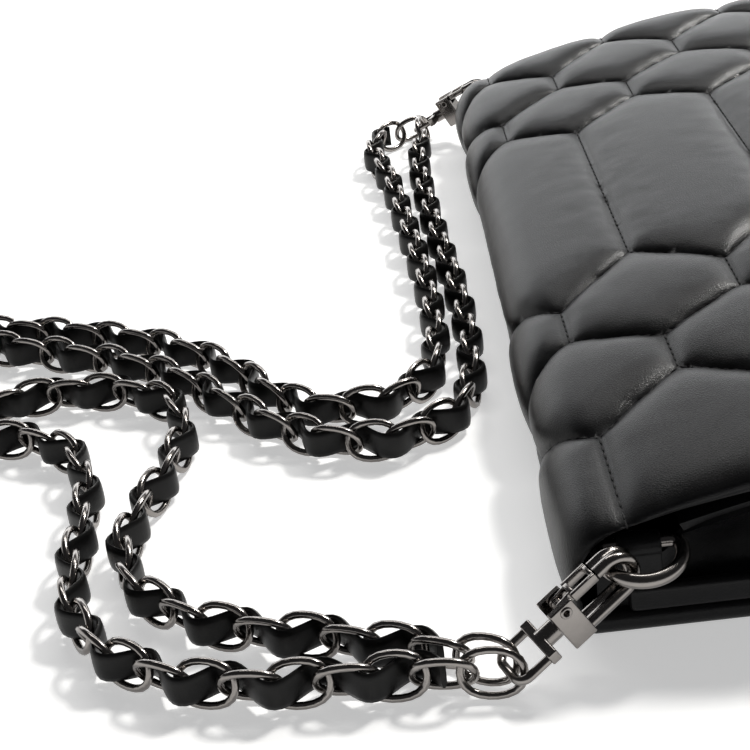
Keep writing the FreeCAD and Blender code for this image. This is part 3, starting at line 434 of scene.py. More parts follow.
def white_floor(name):
    """A white sweep that the camera and the metal see as white, and that keeps the shadows."""
    finish = Finish(bpy.data.materials.new(name))
    shown = finish.shown()
    tone = finish.noise(FLOOR_TONE_SCALE, 1.0)
    colour = finish.mixed(tone, *FLOOR_TONES)
    matt = finish.node("ShaderNodeBsdfDiffuse", {}, {"Color": colour})
    away = finish.node("ShaderNodeVectorMath", {"operation": "LENGTH"}, {"Vector": finish.place()}, 1)
    near, far = (FLOOR_GLOW,) * 3, (1, 1, 1)
    shine = finish.ramp(away * (1 / FLOOR_FADE), ((FLOOR_FADE_SHARE, near), (1.0, far)))
    glow = finish.node("ShaderNodeEmission", {}, {"Color": shine, "Strength": 1.0})
    lit = finish.node("ShaderNodeAddShader", {}, {"Shader": matt, "Shader_001": glow})
    both = finish.node("ShaderNodeMixShader", {}, {"Fac": shown, "Shader": matt, "Shader_001": lit})
    finish.node("ShaderNodeOutputMaterial", {}, {"Surface": both})
    return finish.holder


BLACK_LEATHER = leather(
    "black_leather", (0.006, 0.006, 0.0065), (0.014, 0.014, 0.015), 1600.0, 0.0001, 0.26, 0.39,
)
LACE_LEATHER = leather(
    "lace_leather", (0.006, 0.006, 0.006), (0.013, 0.0125, 0.0125), 1900.0, 0.00005, 0.28, 0.42,
)
GUNMETAL = metal("gunmetal", (0.2, 0.185, 0.175), (0.33, 0.31, 0.295), 0.13, 0.26)
SNAP_METAL = metal("snap_metal", (0.42, 0.41, 0.39), (0.55, 0.54, 0.52), 0.22, 0.4)
LINING = cloth("lining", (0.012, 0.012, 0.013), (0.045, 0.045, 0.05), 1600.0)
THREAD = cloth("thread", (0.004, 0.004, 0.0045), (0.02, 0.02, 0.021), 2400.0)
FINISHES = {
    "black_leather": BLACK_LEATHER, "lace_leather": LACE_LEATHER, "gunmetal": GUNMETAL,
    "snap_metal": SNAP_METAL, "lining": LINING,
}


# Making and shaping meshes
def deselect():
    bpy.ops.object.select_all(action="DESELECT")


def pick(piece):
    """Selects one piece alone and makes it the active one."""
    deselect()
    piece.select_set(True)
    bpy.context.view_layer.objects.active = piece


def put(name, data):
    """A new object in the scene."""
    made = bpy.data.objects.new(name, data)
    bpy.context.scene.collection.objects.link(made)
    return made


def name_piece(name, material):
    piece = bpy.context.active_object
    piece.name = piece.data.name = name
    piece.data.materials.clear()
    piece.data.materials.append(material)
    return piece


def finish_piece(piece, body, smooth_deg):
    """Applies what is left to apply, smooths the piece and hangs it on its body."""
    pick(piece)
    for modifier in list(piece.modifiers):
        bpy.ops.object.modifier_apply(modifier=modifier.name)
    bpy.ops.object.transform_apply(location=True, rotation=True, scale=True)
    bpy.ops.object.shade_smooth_by_angle(angle=math.radians(smooth_deg))
    if body:
        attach(piece, body)


def thicken(piece, thick, offset):
    """A skin's thickness, on one side of it for an offset of one or minus one, on both for zero."""
    wall = piece.modifiers.new("Wall", "SOLIDIFY")
    wall.thickness = thick * MM
    wall.offset = offset


def points_of(piece):
    spots = np.empty(len(piece.data.vertices) * 3)
    piece.data.vertices.foreach_get("co", spots)
    return spots.reshape(-1, 3)


def move_points(piece, spots):
    piece.data.vertices.foreach_set("co", np.ascontiguousarray(spots, float).ravel())
    piece.data.update()


def grid(name, material, low, high, counts):
    """A flat grid between two corners, in millimetres, as the unrolled cut of a panel."""
    deselect()
    bpy.ops.mesh.primitive_grid_add(x_subdivisions=counts[0], y_subdivisions=counts[1], size=1)
    piece = name_piece(name, material)
    spots = points_of(piece)
    low, high = np.array(low), np.array(high)
    spots[:, :2] = low + (spots[:, :2] + 0.5) * (high - low)
    move_points(piece, spots)
    return piece


def from_faces(name, material, spots, faces):
    """A piece from its points and faces."""
    mesh = bpy.data.meshes.new(name)
    mesh.from_pydata(np.vstack(spots).tolist(), [], faces)
    mesh.materials.append(material)
    return put(name, mesh)


def ripples(first, second, wave):
    """Smooth noise over pairs of places, by its waves per millimetre each way and its seed."""
    by_first, by_second, seed = wave
    return np.array([noise.noise((a * by_first, b * by_second, seed)) for a, b in zip(first, second)])


def copies(name, material, model, places):
    """One mesh of many copies of a model, which is removed."""
    shape = points_of(model)
    faces = [tuple(p.vertices) for p in model.data.polygons]
    spots, corners = [], []
    for i, place in enumerate(places):
        turned = shape @ np.array(place.to_3x3()).T + np.array(place.translation)
        spots.append(turned)
        corners += [tuple(v + i * len(shape) for v in face) for face in faces]
    bpy.data.objects.remove(model)
    return from_faces(name, material, spots, corners)


def solid_box(name, material, low, high, round_by, segments):
    """A box with its edges rounded, between two corners in millimetres."""
    deselect()
    bpy.ops.mesh.primitive_cube_add(size=1)
    piece = name_piece(name, material)
    low, high = np.array(low), np.array(high)
    move_points(piece, (low + (points_of(piece) + 0.5) * (high - low)) * MM)
    bpy.ops.object.mode_set(mode="EDIT")
    bpy.ops.mesh.select_all(action="SELECT")
    bpy.ops.mesh.bevel(offset=round_by * MM, segments=segments, affect="EDGES")
    bpy.ops.object.mode_set(mode="OBJECT")
    return piece


# Quilting
def corner(zigzag, row):
    """The place of a zigzag's corner on a row, along X and along the panel."""
    return zigzag[row % 2], QUILT_FIRST + row * QUILT_STEP


def seams(half, low, high):
    """The straight pieces of all seams of a panel, each from one corner to the next."""
    first = math.floor((low - QUILT_FIRST) / QUILT_STEP) - 1
    last = math.ceil((high - QUILT_FIRST) / QUILT_STEP) + 1
    runs = []
    for zigzag in ZIGZAGS:
        runs += [(*corner(zigzag, row), *corner(zigzag, row + 1)) for row in range(first, last)]
    edges = [(-half, -half), *ZIGZAGS, (half, half)]
    for i, (near, far) in enumerate(zip(edges, edges[1:])):
        for row in range(first, last + 1):
            if row % 2 != i % 2:
                x, along = corner(near, row)
                runs.append((x, along, corner(far, row)[0], along))
    kept = []
    for x0, s0, x1, s1 in runs:
        if s1 <= low or s0 >= high:
            continue
        rise = s1 - s0
        start = max(0, (low - s0) / rise) if rise else 0
        end = min(1, (high - s0) / rise) if rise else 1
        kept.append((x0 + (x1 - x0) * start, s0 + rise * start, x0 + (x1 - x0) * end, s0 + rise * end))
    return np.array(kept)


def quilt_range(low, high):
    """The nearest ends of a grid whose lines meet the rows of quilting, and its count."""
    start = math.floor((low - QUILT_FIRST) / QUILT_CELL)
    end = math.ceil((high - QUILT_FIRST) / QUILT_CELL)
    return QUILT_FIRST + start * QUILT_CELL, QUILT_FIRST + end * QUILT_CELL, end - start


def cut_seams(piece, low, high):
    """Cuts the zigzag seams into a flat panel, so that its edges follow them."""
    pick(piece)
    first = math.floor((low - QUILT_FIRST) / QUILT_STEP)
    last = math.ceil((high - QUILT_FIRST) / QUILT_STEP)
    bpy.ops.object.mode_set(mode="EDIT")
    bpy.ops.mesh.select_mode(type="FACE")
    for row in range(first, last):
        for zigzag in ZIGZAGS:
            (x0, s0), (x1, s1) = corner(zigzag, row), corner(zigzag, row + 1)
            bpy.ops.mesh.select_all(action="DESELECT")
            shape = bmesh.from_edit_mesh(piece.data)
            for face in shape.faces:
                middle = face.calc_center_median()
                if s0 < middle.y < s1 and min(x0, x1) - CUT_ROOM < middle.x < max(x0, x1) + CUT_ROOM:
                    face.select_set(True)
            bmesh.update_edit_mesh(piece.data)
            across = Vector((s1 - s0, x0 - x1, 0)).normalized()
            bpy.ops.mesh.bisect(plane_co=(x0, s0, 0), plane_no=across)
    bpy.ops.object.mode_set(mode="OBJECT")


def distances(spots, runs):
    """How far each flat point lies from the nearest seam."""
    least = np.full(len(spots), np.inf)
    for x0, s0, x1, s1 in runs:
        start, way = np.array((x0, s0)), np.array((x1 - x0, s1 - s0))
        share = np.clip((spots - start) @ way / (way @ way), 0, 1)
        least = np.minimum(least, np.hypot(*(spots - start - share[:, None] * way).T))
    return least


def filled(piece, sewn, height, reach):
    """How far the filling lifts each point of a flat panel that is held down along its seams."""
    ends = np.empty(len(piece.data.edges) * 2, int)
    piece.data.edges.foreach_get("vertices", ends)
    one, two = ends.reshape(-1, 2).T
    count = len(piece.data.vertices)
    near = np.bincount(one, minlength=count) + np.bincount(two, minlength=count)
    push = (QUILT_CELL / reach) ** 2
    lift = np.zeros(count)
    for _ in range(FILL_ROUNDS):
        around = np.bincount(one, lift[two], count) + np.bincount(two, lift[one], count)
        lift = (around * GRID_NEIGHBOURS / near + push * height) / (GRID_NEIGHBOURS + push)
        lift[sewn] = 0
    return lift


def puckered(spots, away):
    """Small puckers beside the seams."""
    ripple = ripples(*spots.T, FINE_RIPPLE) + WIDE_RIPPLE_SHARE * ripples(*spots.T, WIDE_RIPPLE)
    return PUCKER_HEIGHT * ripple * (1 - np.exp(-away / PUCKER_START)) * np.exp(-away / PUCKER_FADE)


def flap_profile(along):
    """The flap's seam level in section: its place in Y and Z, and the way outwards."""
    along = np.asarray(along, float)
    start = math.atan2(-(FOLD_START - ARC_Y), math.sqrt(SEAM_RADIUS ** 2 - (FOLD_START - ARC_Y) ** 2))
    end = math.radians(FOLD_END_DEG)
    curve = FOLD_RADIUS * (start - end)
    on_arc = np.minimum(along, FOLD_START)
    rise = np.sqrt(SEAM_RADIUS ** 2 - (on_arc - ARC_Y) ** 2)
    turned = np.clip(along - FOLD_START, 0, curve) / FOLD_RADIUS
    heading = start - turned
    y = on_arc - FOLD_RADIUS * (np.sin(heading) - math.sin(start))
    z = ARC_Z + rise + FOLD_RADIUS * (np.cos(heading) - math.cos(start))
    beyond = np.clip(along - FOLD_START - curve, 0, None)
    y = y + beyond * math.cos(end)
    z = z + beyond * math.sin(end)
    flat = along <= FOLD_START
    out_y = np.where(flat, (on_arc - ARC_Y) / SEAM_RADIUS, -np.sin(heading))
    out_z = np.where(flat, rise / SEAM_RADIUS, np.cos(heading))
    return y, z, out_y, out_z


def rolled(over):
    """An edge rolled under: a point's shares of the way out and down, and how far its face has turned."""
    over = np.clip(over, 0, 1)
    turn = np.clip(over / ROLL_SHARE, 0, 1) * math.pi / 2
    hang = np.clip((over - ROLL_SHARE) / (1 - ROLL_SHARE), 0, 1)
    drop = ROLL_DROP_SHARE * (1 - np.cos(turn)) + (1 - ROLL_DROP_SHARE) * hang
    return np.sin(turn), drop, turn


def flap_place(flat, height):
    """Where points of the unrolled flap lie, lifted from the seam level."""
    across, along = flat[:, 0], flat[:, 1]
    y, z, out_y, out_z = flap_profile(np.maximum(along, FLAP_FREE + ROLL_WIDTH))
    depth = np.interp(along, *np.array(HEM_DEPTHS).T)
    side, side_drop, side_turn = rolled((np.abs(across) - FLAP_HALF + ROLL_WIDTH) / ROLL_WIDTH)
    end, end_drop, end_turn = rolled((FLAP_FREE + ROLL_WIDTH - along) / ROLL_WIDTH)
    inner = np.minimum(np.abs(across), FLAP_HALF - ROLL_WIDTH)
    x = np.sign(across) * (inner + side * ROLL_WIDTH * ROLL_SHARE)
    y = y - end * ROLL_WIDTH * ROLL_SHARE
    drop = np.maximum(side_drop, end_drop) * depth
    out = np.stack([
        np.sign(across) * np.sin(side_turn),
        out_y * np.cos(side_turn) * np.cos(end_turn) - np.sin(end_turn),
        out_z * np.cos(side_turn) * np.cos(end_turn),
    ], axis=1)
    out /= np.linalg.norm(out, axis=1)[:, None]
    spots = np.stack([x, y - drop * out_y * HEM_LEAN_SHARE, z - drop], axis=1)
    return (spots + out * height[:, None]) * MM


def hems(low, high):
    """The topstitched lines inside the flap's three free edges."""
    inset = ROLL_WIDTH * (1 - ROLL_SHARE)
    side, end = FLAP_HALF - inset, low + inset
    return np.array([(-side, end, -side, high), (side, end, side, high), (-side, end, side, end)])


def stitched(name, runs, place, lift):
    """Thread along seams: one small bead of thread for each stitch."""
    deselect()
    bpy.ops.mesh.primitive_uv_sphere_add(segments=6, ring_count=4, radius=1)
    bead = bpy.context.active_object
    move_points(bead, points_of(bead)[:, [2, 0, 1]] * np.array(STITCH_SIZE) * MM / 2)
    spots = []
    for x0, s0, x1, s1 in runs:
        length = math.hypot(x1 - x0, s1 - s0)
        count = max(1, round(length / STITCH_PITCH))
        for i in range(count):
            shares = [(i + t) / count for t in STITCH_SHARES]
            spots.append([(x0 + (x1 - x0) * t, s0 + (s1 - s0) * t) for t in shares])
    ends = np.array(spots)
    level = np.full(len(ends), lift)
    a, b = place(ends[:, 0], level), place(ends[:, 1], level)
    up = place(ends[:, 0], level + 1) - a
    places = []
    for start, end, away in zip(a, b, up):
        forward = Vector(end - start).normalized()
        side = Vector(away).cross(forward).normalized()
        turn = Matrix((forward, side, forward.cross(side))).transposed().to_4x4()
        places.append(Matrix.Translation(Vector((start + end) / 2)) @ turn)
    return copies(name, THREAD, bead, places)


def settle(piece, sewn):
    """Lets the filling push the leather out between its seams, up to a cap."""
    before = points_of(piece)
    group = piece.vertex_groups.new(name="sewn")
    group.add([int(i) for i in sewn], 1.0, "REPLACE")
    pick(piece)
    filling = piece.modifiers.new("Filling", "CLOTH")
    for name, value in FILLING_SETTINGS.items():
        setattr(filling.settings, name, value)
    filling.settings.effector_weights.gravity = 0
    filling.settings.vertex_group_mass = group.name
    filling.point_cache.frame_end = FILLING_STEPS
    for step in range(1, FILLING_STEPS + 1):
        bpy.context.scene.frame_set(step)
    bpy.ops.object.modifier_apply(modifier=filling.name)
    bpy.context.scene.frame_set(1)
    moved = points_of(piece) - before
    far = np.linalg.norm(moved, axis=1)
    cap = FILLING_CAP * MM
    kept = np.tanh(far / cap) * cap / np.maximum(far, 1e-9)
    move_points(piece, before + moved * kept[:, None])
    piece.vertex_groups.clear()


def make_flap():
    """The quilted cover: one skin from the foot of the fold over the flap to its free edge."""
    low, high, rows = quilt_range(FLAP_FREE, COVER_FOOT)
    columns = round(2 * FLAP_HALF / QUILT_CELL)
    skin = grid("quilted_cover", BLACK_LEATHER, (-FLAP_HALF, low), (FLAP_HALF, high), (columns, rows))
    cut_seams(skin, low, high)
    flat = points_of(skin)[:, :2]
    hem = hems(low, high)
    inset = ROLL_WIDTH * (1 - ROLL_SHARE)
    runs = seams(FLAP_HALF - inset, low + inset, high)
    away = distances(flat, np.vstack([runs, hem]))
    beyond = (np.abs(flat[:, 0]) > FLAP_HALF - inset) | (flat[:, 1] < low + inset)
    sewn = np.flatnonzero((away < SEWN_REACH) | beyond | (flat[:, 1] > high - FOOT_REACH))
    height = filled(skin, sewn, PUFF_HEIGHT, PUFF_REACH) + np.where(beyond, 0, puckered(flat, away))
    move_points(skin, flap_place(flat, height))
    settle(skin, sewn)
    thicken(skin, SKIN_THICK, -1)
    finish_piece(skin, None, QUILT_SMOOTH_DEG)
    thread = stitched("quilting_thread", np.vstack([runs, hem]), flap_place, STITCH_LIFT)
    finish_piece(thread, None, SKIN_SMOOTH_DEG)
    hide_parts("flap", "spine")
    for piece in (skin, thread):
        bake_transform(piece)


def make_front():
    """The quilted front of the pocket, seen when the flap is open and at the base."""
    low, high, rows = quilt_range(FRONT_BASE, FRONT_MOUTH)
    columns = round(2 * FRONT_HALF / QUILT_CELL * FRONT_GRID_SHARE)

    def place(flat, height):
        reach = FRONT_RADIUS - FRONT_PUFF + height
        lean = (np.clip(flat[:, 1], FRONT_BASE, FRONT_MOUTH) - ARC_Y) / FRONT_RADIUS
        rise = np.sqrt(1 - lean ** 2)
        return np.stack([flat[:, 0], ARC_Y + reach * lean, ARC_Z + reach * rise], axis=1) * MM

    skin = grid("front_cover", BLACK_LEATHER, (-FRONT_HALF, low), (FRONT_HALF, high), (columns, rows))
    cut_seams(skin, low, high)
    flat = points_of(skin)[:, :2]
    runs = seams(FRONT_HALF - FRONT_HEM, low + FRONT_HEM, high - FRONT_HEM)
    edge = np.array([
        (-FRONT_HALF, low, -FRONT_HALF, high), (FRONT_HALF, low, FRONT_HALF, high),
        (-FRONT_HALF, low, FRONT_HALF, low), (-FRONT_HALF, high, FRONT_HALF, high),
    ])
    away = distances(flat, np.vstack([runs, edge]))
    sewn = np.flatnonzero(away < SEWN_REACH)
    move_points(skin, place(flat, filled(skin, sewn, FRONT_PUFF, PUFF_REACH) + puckered(flat, away)))
    thicken(skin, FRONT_THICK, -1)
    finish_piece(skin, "bag", QUILT_SMOOTH_DEG)
    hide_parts("front_panel")
    thread = stitched("front_thread", runs, place, STITCH_LIFT)
    finish_piece(thread, "bag", SKIN_SMOOTH_DEG)


def make_back():
    """The back, a thin pad that the bag lies on."""
    low = (-BACK_WIDTH / 2, -BACK_HEIGHT / 2, 0)
    high = (BACK_WIDTH / 2, BACK_HEIGHT / 2 - BACK_FOLD_INSET, BACK_THICK)
    pad = solid_box("back_pad", BLACK_LEATHER, low, high, BACK_ROUND, BACK_SEGMENTS)
    finish_piece(pad, "bag", BOX_SMOOTH_DEG)
    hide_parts("back_panel")


def gusset_height(along):
    """The top of a side gusset, under the front panel or at the step by the mouth."""
    depth = FRONT_RADIUS - GUSSET_UNDER
    under = ARC_Z + np.sqrt(depth ** 2 - (along - ARC_Y) ** 2)
    share = np.clip((along - GUSSET_STEP_START) / GUSSET_STEP_LENGTH, 0, 1)
    return under * (1 - share) + GUSSET_STEP * share


def make_gussets():
    """The soft side walls, folded in along their middles, and the base."""
    for side, sign in SIDES.items():
        wall = grid(f"{side}_side", BLACK_LEATHER, (FRONT_BASE, 0), (GUSSET_TOP, 1), GUSSET_GRID)
        flat = points_of(wall)
        along, share = flat[:, 0], flat[:, 1]
        z = BACK_THICK + (gusset_height(along) - BACK_THICK) * share
        fold = np.sin(share * math.pi) ** GUSSET_FOLD_POWER
        wave = ripples(along, z, (*SIDE_RIPPLE, SIDE_SEED + sign))
        by_tab = np.clip((TAB_PLACE[1] - TAB_WIDTH / 2 - along) / GUSSET_EASE, 0, 1)
        by_base = np.clip((along - FRONT_BASE) / GUSSET_EASE, 0, 1)
        bow = fold * by_tab * by_base * (GUSSET_BOW + SIDE_WAVE * wave)
        x = sign * (GUSSET_FACE - bow)
        move_points(wall, np.stack([x, along, z], axis=1) * MM)
        thicken(wall, SIDE_THICK, -sign)
        finish_piece(wall, "bag", SKIN_SMOOTH_DEG)
        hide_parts(f"{side}_gusset")
    base = grid("base_wall", BLACK_LEATHER, (-GUSSET_FACE, 0), (GUSSET_FACE, 1), BASE_GRID)
    across, share = points_of(base)[:, :2].T
    ends = np.clip((np.abs(across) - GUSSET_FACE + BASE_ROUND) / BASE_ROUND, 0, 1) ** 2
    z = BACK_THICK + (BASE_TOP - BACK_THICK - BASE_DIP * ends) * share
    sag = BASE_SAG * ripples(across, z, BASE_SAG_RIPPLE)
    crease = BASE_CREASE * ripples(across, z, BASE_CREASE_RIPPLE)
    bow = np.sin(share * math.pi) ** BASE_BOW_POWER * (1 - ends) * (BASE_BOW + sag + crease)
    y = BASE_FACE - bow + BASE_DIP * ends
    move_points(base, np.stack([across, y, z], axis=1) * MM)
    thicken(base, SIDE_THICK, -1)
    finish_piece(base, "bag", SKIN_SMOOTH_DEG)
    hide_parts("base_gusset")


def make_bands():
    """The flat seam bands along the foot of each side."""
    for side, sign in SIDES.items():
        near, far = sorted(sign * x for x in BAND_REACH)
        low, high = (near, BAND_ENDS[0], BACK_THICK), (far, BAND_ENDS[1], BAND_TOP)
        band = solid_box(f"{side}_band", BLACK_LEATHER, low, high, BAND_ROUND, BAND_SEGMENTS)
        finish_piece(band, "bag", BOX_SMOOTH_DEG)
        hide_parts(f"{side}_welt")


def make_tabs():
    """Leather strips folded over the ring bars, with both ends sewn to the sides."""
    drop = math.sqrt(TAB_FOLD ** 2 - TAB_LEG ** 2)
    leg = TAB_BAR - drop - TAB_FOOT
    first = math.atan2(TAB_LEG, drop)
    arc = TAB_FOLD * 2 * (math.pi - first)
    length = 2 * leg + arc
    for side, sign in SIDES.items():
        strip = grid(f"{side}_strip", BLACK_LEATHER, (0, -TAB_WIDTH / 2), (length, TAB_WIDTH / 2), TAB_GRID)
        run, across = points_of(strip)[:, :2].T
        turn = first + np.clip(run - leg, 0, arc) / TAB_FOLD
        hang = np.clip(leg - run, 0, leg) + np.clip(run - leg - arc, 0, leg)
        x = sign * TAB_PLACE[0] - TAB_FOLD * np.sin(turn)
        y = TAB_PLACE[1] + across * (1 - TAB_WAIST_SHARE * np.sin(run / length * math.pi))
        z = TAB_BAR - TAB_FOLD * np.cos(turn) - hang
        move_points(strip, np.stack([x, y, z], axis=1) * MM)
        thicken(strip, TAB_THICK, 0)
        edges = strip.modifiers.new("Edges", "BEVEL")
        edges.width = TAB_ROUND_SHARE * TAB_THICK * MM
        edges.segments = TAB_SEGMENTS
        finish_piece(strip, "bag", SKIN_SMOOTH_DEG)
        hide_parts(f"{side}_tab")


# Linings
def make_lining(name, node, body, cut):
    """A woven lining, sewn in along its edges, with a little slack."""
    half, low, high, level = cut
    curved = level > FLAP_HALF
    sheet = grid(name, LINING, (-half, low), (half, high), LINING_GRID)
    x, y = points_of(sheet)[:, :2].T
    reach = level + LINING_SLACK * ripples(x, y, (*LINING_RIPPLE, level))
    z = ARC_Z + np.sqrt(reach ** 2 - (y - ARC_Y) ** 2) if curved else reach
    move_points(sheet, np.stack([x, y, z], axis=1) * MM)
    thicken(sheet, LINING_THICK, 0)
    finish_piece(sheet, body, SKIN_SMOOTH_DEG)
    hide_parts(node)


def make_pocket():
    """The slip pocket: a patch with round corners, sewn to the back lining on three sides."""
    across, along = POCKET_HALF

    def place(flat, height):
        crown = np.clip(1 - (flat / np.array(POCKET_HALF)) ** 2, 0, 1)
        swell = POCKET_SWELL * crown[:, 0] * crown[:, 1]
        return np.stack([*flat.T, POCKET_LEVEL + swell + height], axis=1) * MM

    patch = grid("pocket_patch", LINING, (-across, -along), (across, along), POCKET_GRID)
    flat = points_of(patch)[:, :2]
    core = np.array((across - POCKET_ROUND, along - POCKET_ROUND))
    past = np.clip(np.abs(flat) - core, 0, None)
    both = past.min(axis=1) > 0
    shrink = past.max(axis=1)[both] / np.hypot(*past[both].T)
    past[both] *= shrink[:, None]
    flat = np.sign(flat) * (np.minimum(np.abs(flat), core) + past)
    move_points(patch, place(flat, np.zeros(len(flat))))
    thicken(patch, LINING_THICK, 0)
    finish_piece(patch, "bag", SKIN_SMOOTH_DEG)
    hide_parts("slip_pocket")
    side, foot = across - POCKET_HEM, -along + POCKET_HEM
    runs = np.array([(-side, foot, -side, along), (side, foot, side, along), (-side, foot, side, foot)])
    thread = stitched("pocket_thread", runs, place, STITCH_LIFT)
    finish_piece(thread, "bag", SKIN_SMOOTH_DEG)


# Clasps
def plate(name, outline, low, high):
    """A metal plate: an outline in X and Z drawn out along Y, with its edges rounded."""
    deselect()
    bpy.ops.mesh.primitive_circle_add(vertices=len(outline), radius=1, fill_type="NGON")
    piece = name_piece(name, GUNMETAL)
    move_points(piece, np.array([(x, low, z) for x, z in outline]) * MM)
    bpy.ops.object.mode_set(mode="EDIT")
    bpy.ops.mesh.select_all(action="SELECT")
    bpy.ops.mesh.extrude_region_move(TRANSFORM_OT_translate={"value": (0, (high - low) * MM, 0)})
    bpy.ops.mesh.select_all(action="SELECT")
    bpy.ops.mesh.normals_make_consistent(inside=False)
    bpy.ops.mesh.bevel(offset=EDGE_ROUND * MM, segments=EDGE_SEGMENTS, affect="EDGES")
    bpy.ops.object.mode_set(mode="OBJECT")
    return piece


def joined(name, pieces):
    """Pieces joined to one mesh."""
    pick(pieces[0])
    for piece in pieces:
        piece.select_set(True)
    bpy.ops.object.join()
    pieces[0].name = pieces[0].data.name = name
    return pieces[0]


def clasp_place(side):
    """Where a clasp lies: from the frame that its pieces are drawn in."""
    origin, through, along = (Vector(v) for v in CLASP_PLACES[side])
    turn = Matrix((through.cross(along), through, along)).transposed().to_4x4()
    return Matrix.Translation(origin * MM) @ turn


def make_gate(side):
    """The sprung gate: two slim rails with a slot between them, on two lugs in the block."""
    left, right, foot, tip = RAIL
    rail = [(left, foot), (right, foot), (right, tip), (left, tip)]
    near, far = RAIL_SIDES
    parts = [plate("rail", rail, low, high) for low, high in ((-far, -near), (near, far))]
    for low, high in RAIL_BARS:
        bar = [(left, low), (right, low), (right, high), (left, high)]
        parts.append(plate("bar", bar, -near - EDGE_ROUND, near + EDGE_ROUND))
    lug = [(right, foot + EDGE_ROUND * 2), (left, foot + EDGE_ROUND * 2)]
    for step in range(LUG_STEPS + 1):
        turn = math.pi + step * math.pi / LUG_STEPS
        lug.append((PIVOT[0] + LUG_RADIUS * math.cos(turn), PIVOT[1] + LUG_RADIUS * math.sin(turn)))
    thin, thick = LUG_SIDES
    parts += [plate("lug", lug, low, high) for low, high in ((-thick, -thin), (thin, thick))]
    gate = joined(f"{side}_lever", parts)
    gate.data.transform(clasp_place(side))
    finish_piece(gate, f"{side}_gate", GATE_SMOOTH_DEG)
    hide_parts(f"{side}_gate")
    return gate


def make_rivet(side):
    """The hollow rivet of the gate: a tube with a rolled head at each end."""
    x, z = PIVOT[0] * MM, PIVOT[1] * MM
    half = BLOCK_HALF_DEPTH * MM
    across = (math.pi / 2, 0, 0)
    round_about, round_wire = RIVET_SEGMENTS
    head_radius, wire_radius = RIVET_HEAD
    deselect()
    bpy.ops.mesh.primitive_cylinder_add(
        vertices=round_about, radius=RIVET_TUBE * MM, depth=2 * half, end_fill_type="NOTHING",
        location=(x, 0, z), rotation=across,
    )
    tube = name_piece("tube", GUNMETAL)
    thicken(tube, RIVET_WALL, -1)
    bpy.ops.object.modifier_apply(modifier="Wall")
    parts = [tube]
    for end in (-half, half):
        deselect()
        bpy.ops.mesh.primitive_torus_add(
            major_segments=round_about, minor_segments=round_wire, major_radius=head_radius * MM,
            minor_radius=wire_radius * MM, location=(x, end, z), rotation=across,
        )
        parts.append(name_piece("head", GUNMETAL))
    for part in parts:
        pick(part)
        bpy.ops.object.transform_apply(location=True, rotation=True, scale=True)
    rivet = joined(f"{side}_rivet", parts)
    rivet.data.transform(clasp_place(side))
    finish_piece(rivet, f"{side}_clasp", RIVET_SMOOTH_DEG)
    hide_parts(f"{side}_gate_pin")
    return rivet


# Chain
def route_points(route):
    """Points along the smooth line of a route, read from its spline."""
    curve = bpy.data.curves.new("route", "CURVE")
    curve.dimensions = "3D"
    curve.resolution_u = ROUTE_RESOLUTION
    spline = curve.splines.new("NURBS")
    spline.points.add(len(route) - 1)
    for point, (x, y) in zip(spline.points, route):
        point.co = (x * MM, y * MM, CHAIN_HEIGHT * MM, 1)
    spline.order_u = 3
    spline.use_endpoint_u = True
    holder = put("route", curve)
    bpy.context.view_layer.update()
    mesh = bpy.data.meshes.new_from_object(holder)
    spots = np.array([v.co[:] for v in mesh.vertices])
    bpy.data.objects.remove(holder)
    return spots


class Line:
    """A line of points that can be read at any share of its length."""

    def __init__(self, spots):
        self.spots = spots
        self.lengths = np.r_[0, np.cumsum(np.linalg.norm(np.diff(spots, axis=0), axis=1))]
        self.length = self.lengths[-1]

    def at(self, share):
        return np.stack([np.interp(share * self.length, self.lengths, c) for c in self.spots.T], axis=-1)


def left_of(line):
    """The level way to the left at each point of a line."""
    along = np.gradient(line, axis=0)
    side = np.stack([-along[:, 1], along[:, 0], np.zeros(len(line))], axis=1)
    return side / np.linalg.norm(side, axis=1)[:, None]


def link_model():
    """One link: a ring of wire drawn to an oval, standing on edge along X."""
    deselect()
    round_about, round_wire = LINK_SEGMENTS
    bpy.ops.mesh.primitive_torus_add(
        major_segments=round_about, minor_segments=round_wire, major_radius=LINK_HALF_LENGTH * MM,
        minor_radius=LINK_WIRE * MM,
    )
    link = bpy.context.active_object
    spots = points_of(link)
    angle = np.arctan2(spots[:, 1], spots[:, 0])
    out = np.hypot(spots[:, 0], spots[:, 1]) - LINK_HALF_LENGTH * MM
    centre = np.stack([LINK_HALF_LENGTH * np.cos(angle), LINK_HALF_HEIGHT * np.sin(angle)], axis=1)
    centre *= (1 + LINK_FULL_SHARE * np.sin(2 * angle) ** 2)[:, None] * MM
    way = np.stack([LINK_HALF_HEIGHT * np.cos(angle), LINK_HALF_LENGTH * np.sin(angle)], axis=1)
    way /= np.linalg.norm(way, axis=1)[:, None]
    oval = centre + way * out[:, None]
    move_points(link, np.stack([oval[:, 0], -spots[:, 2], oval[:, 1]], axis=1))
    return link


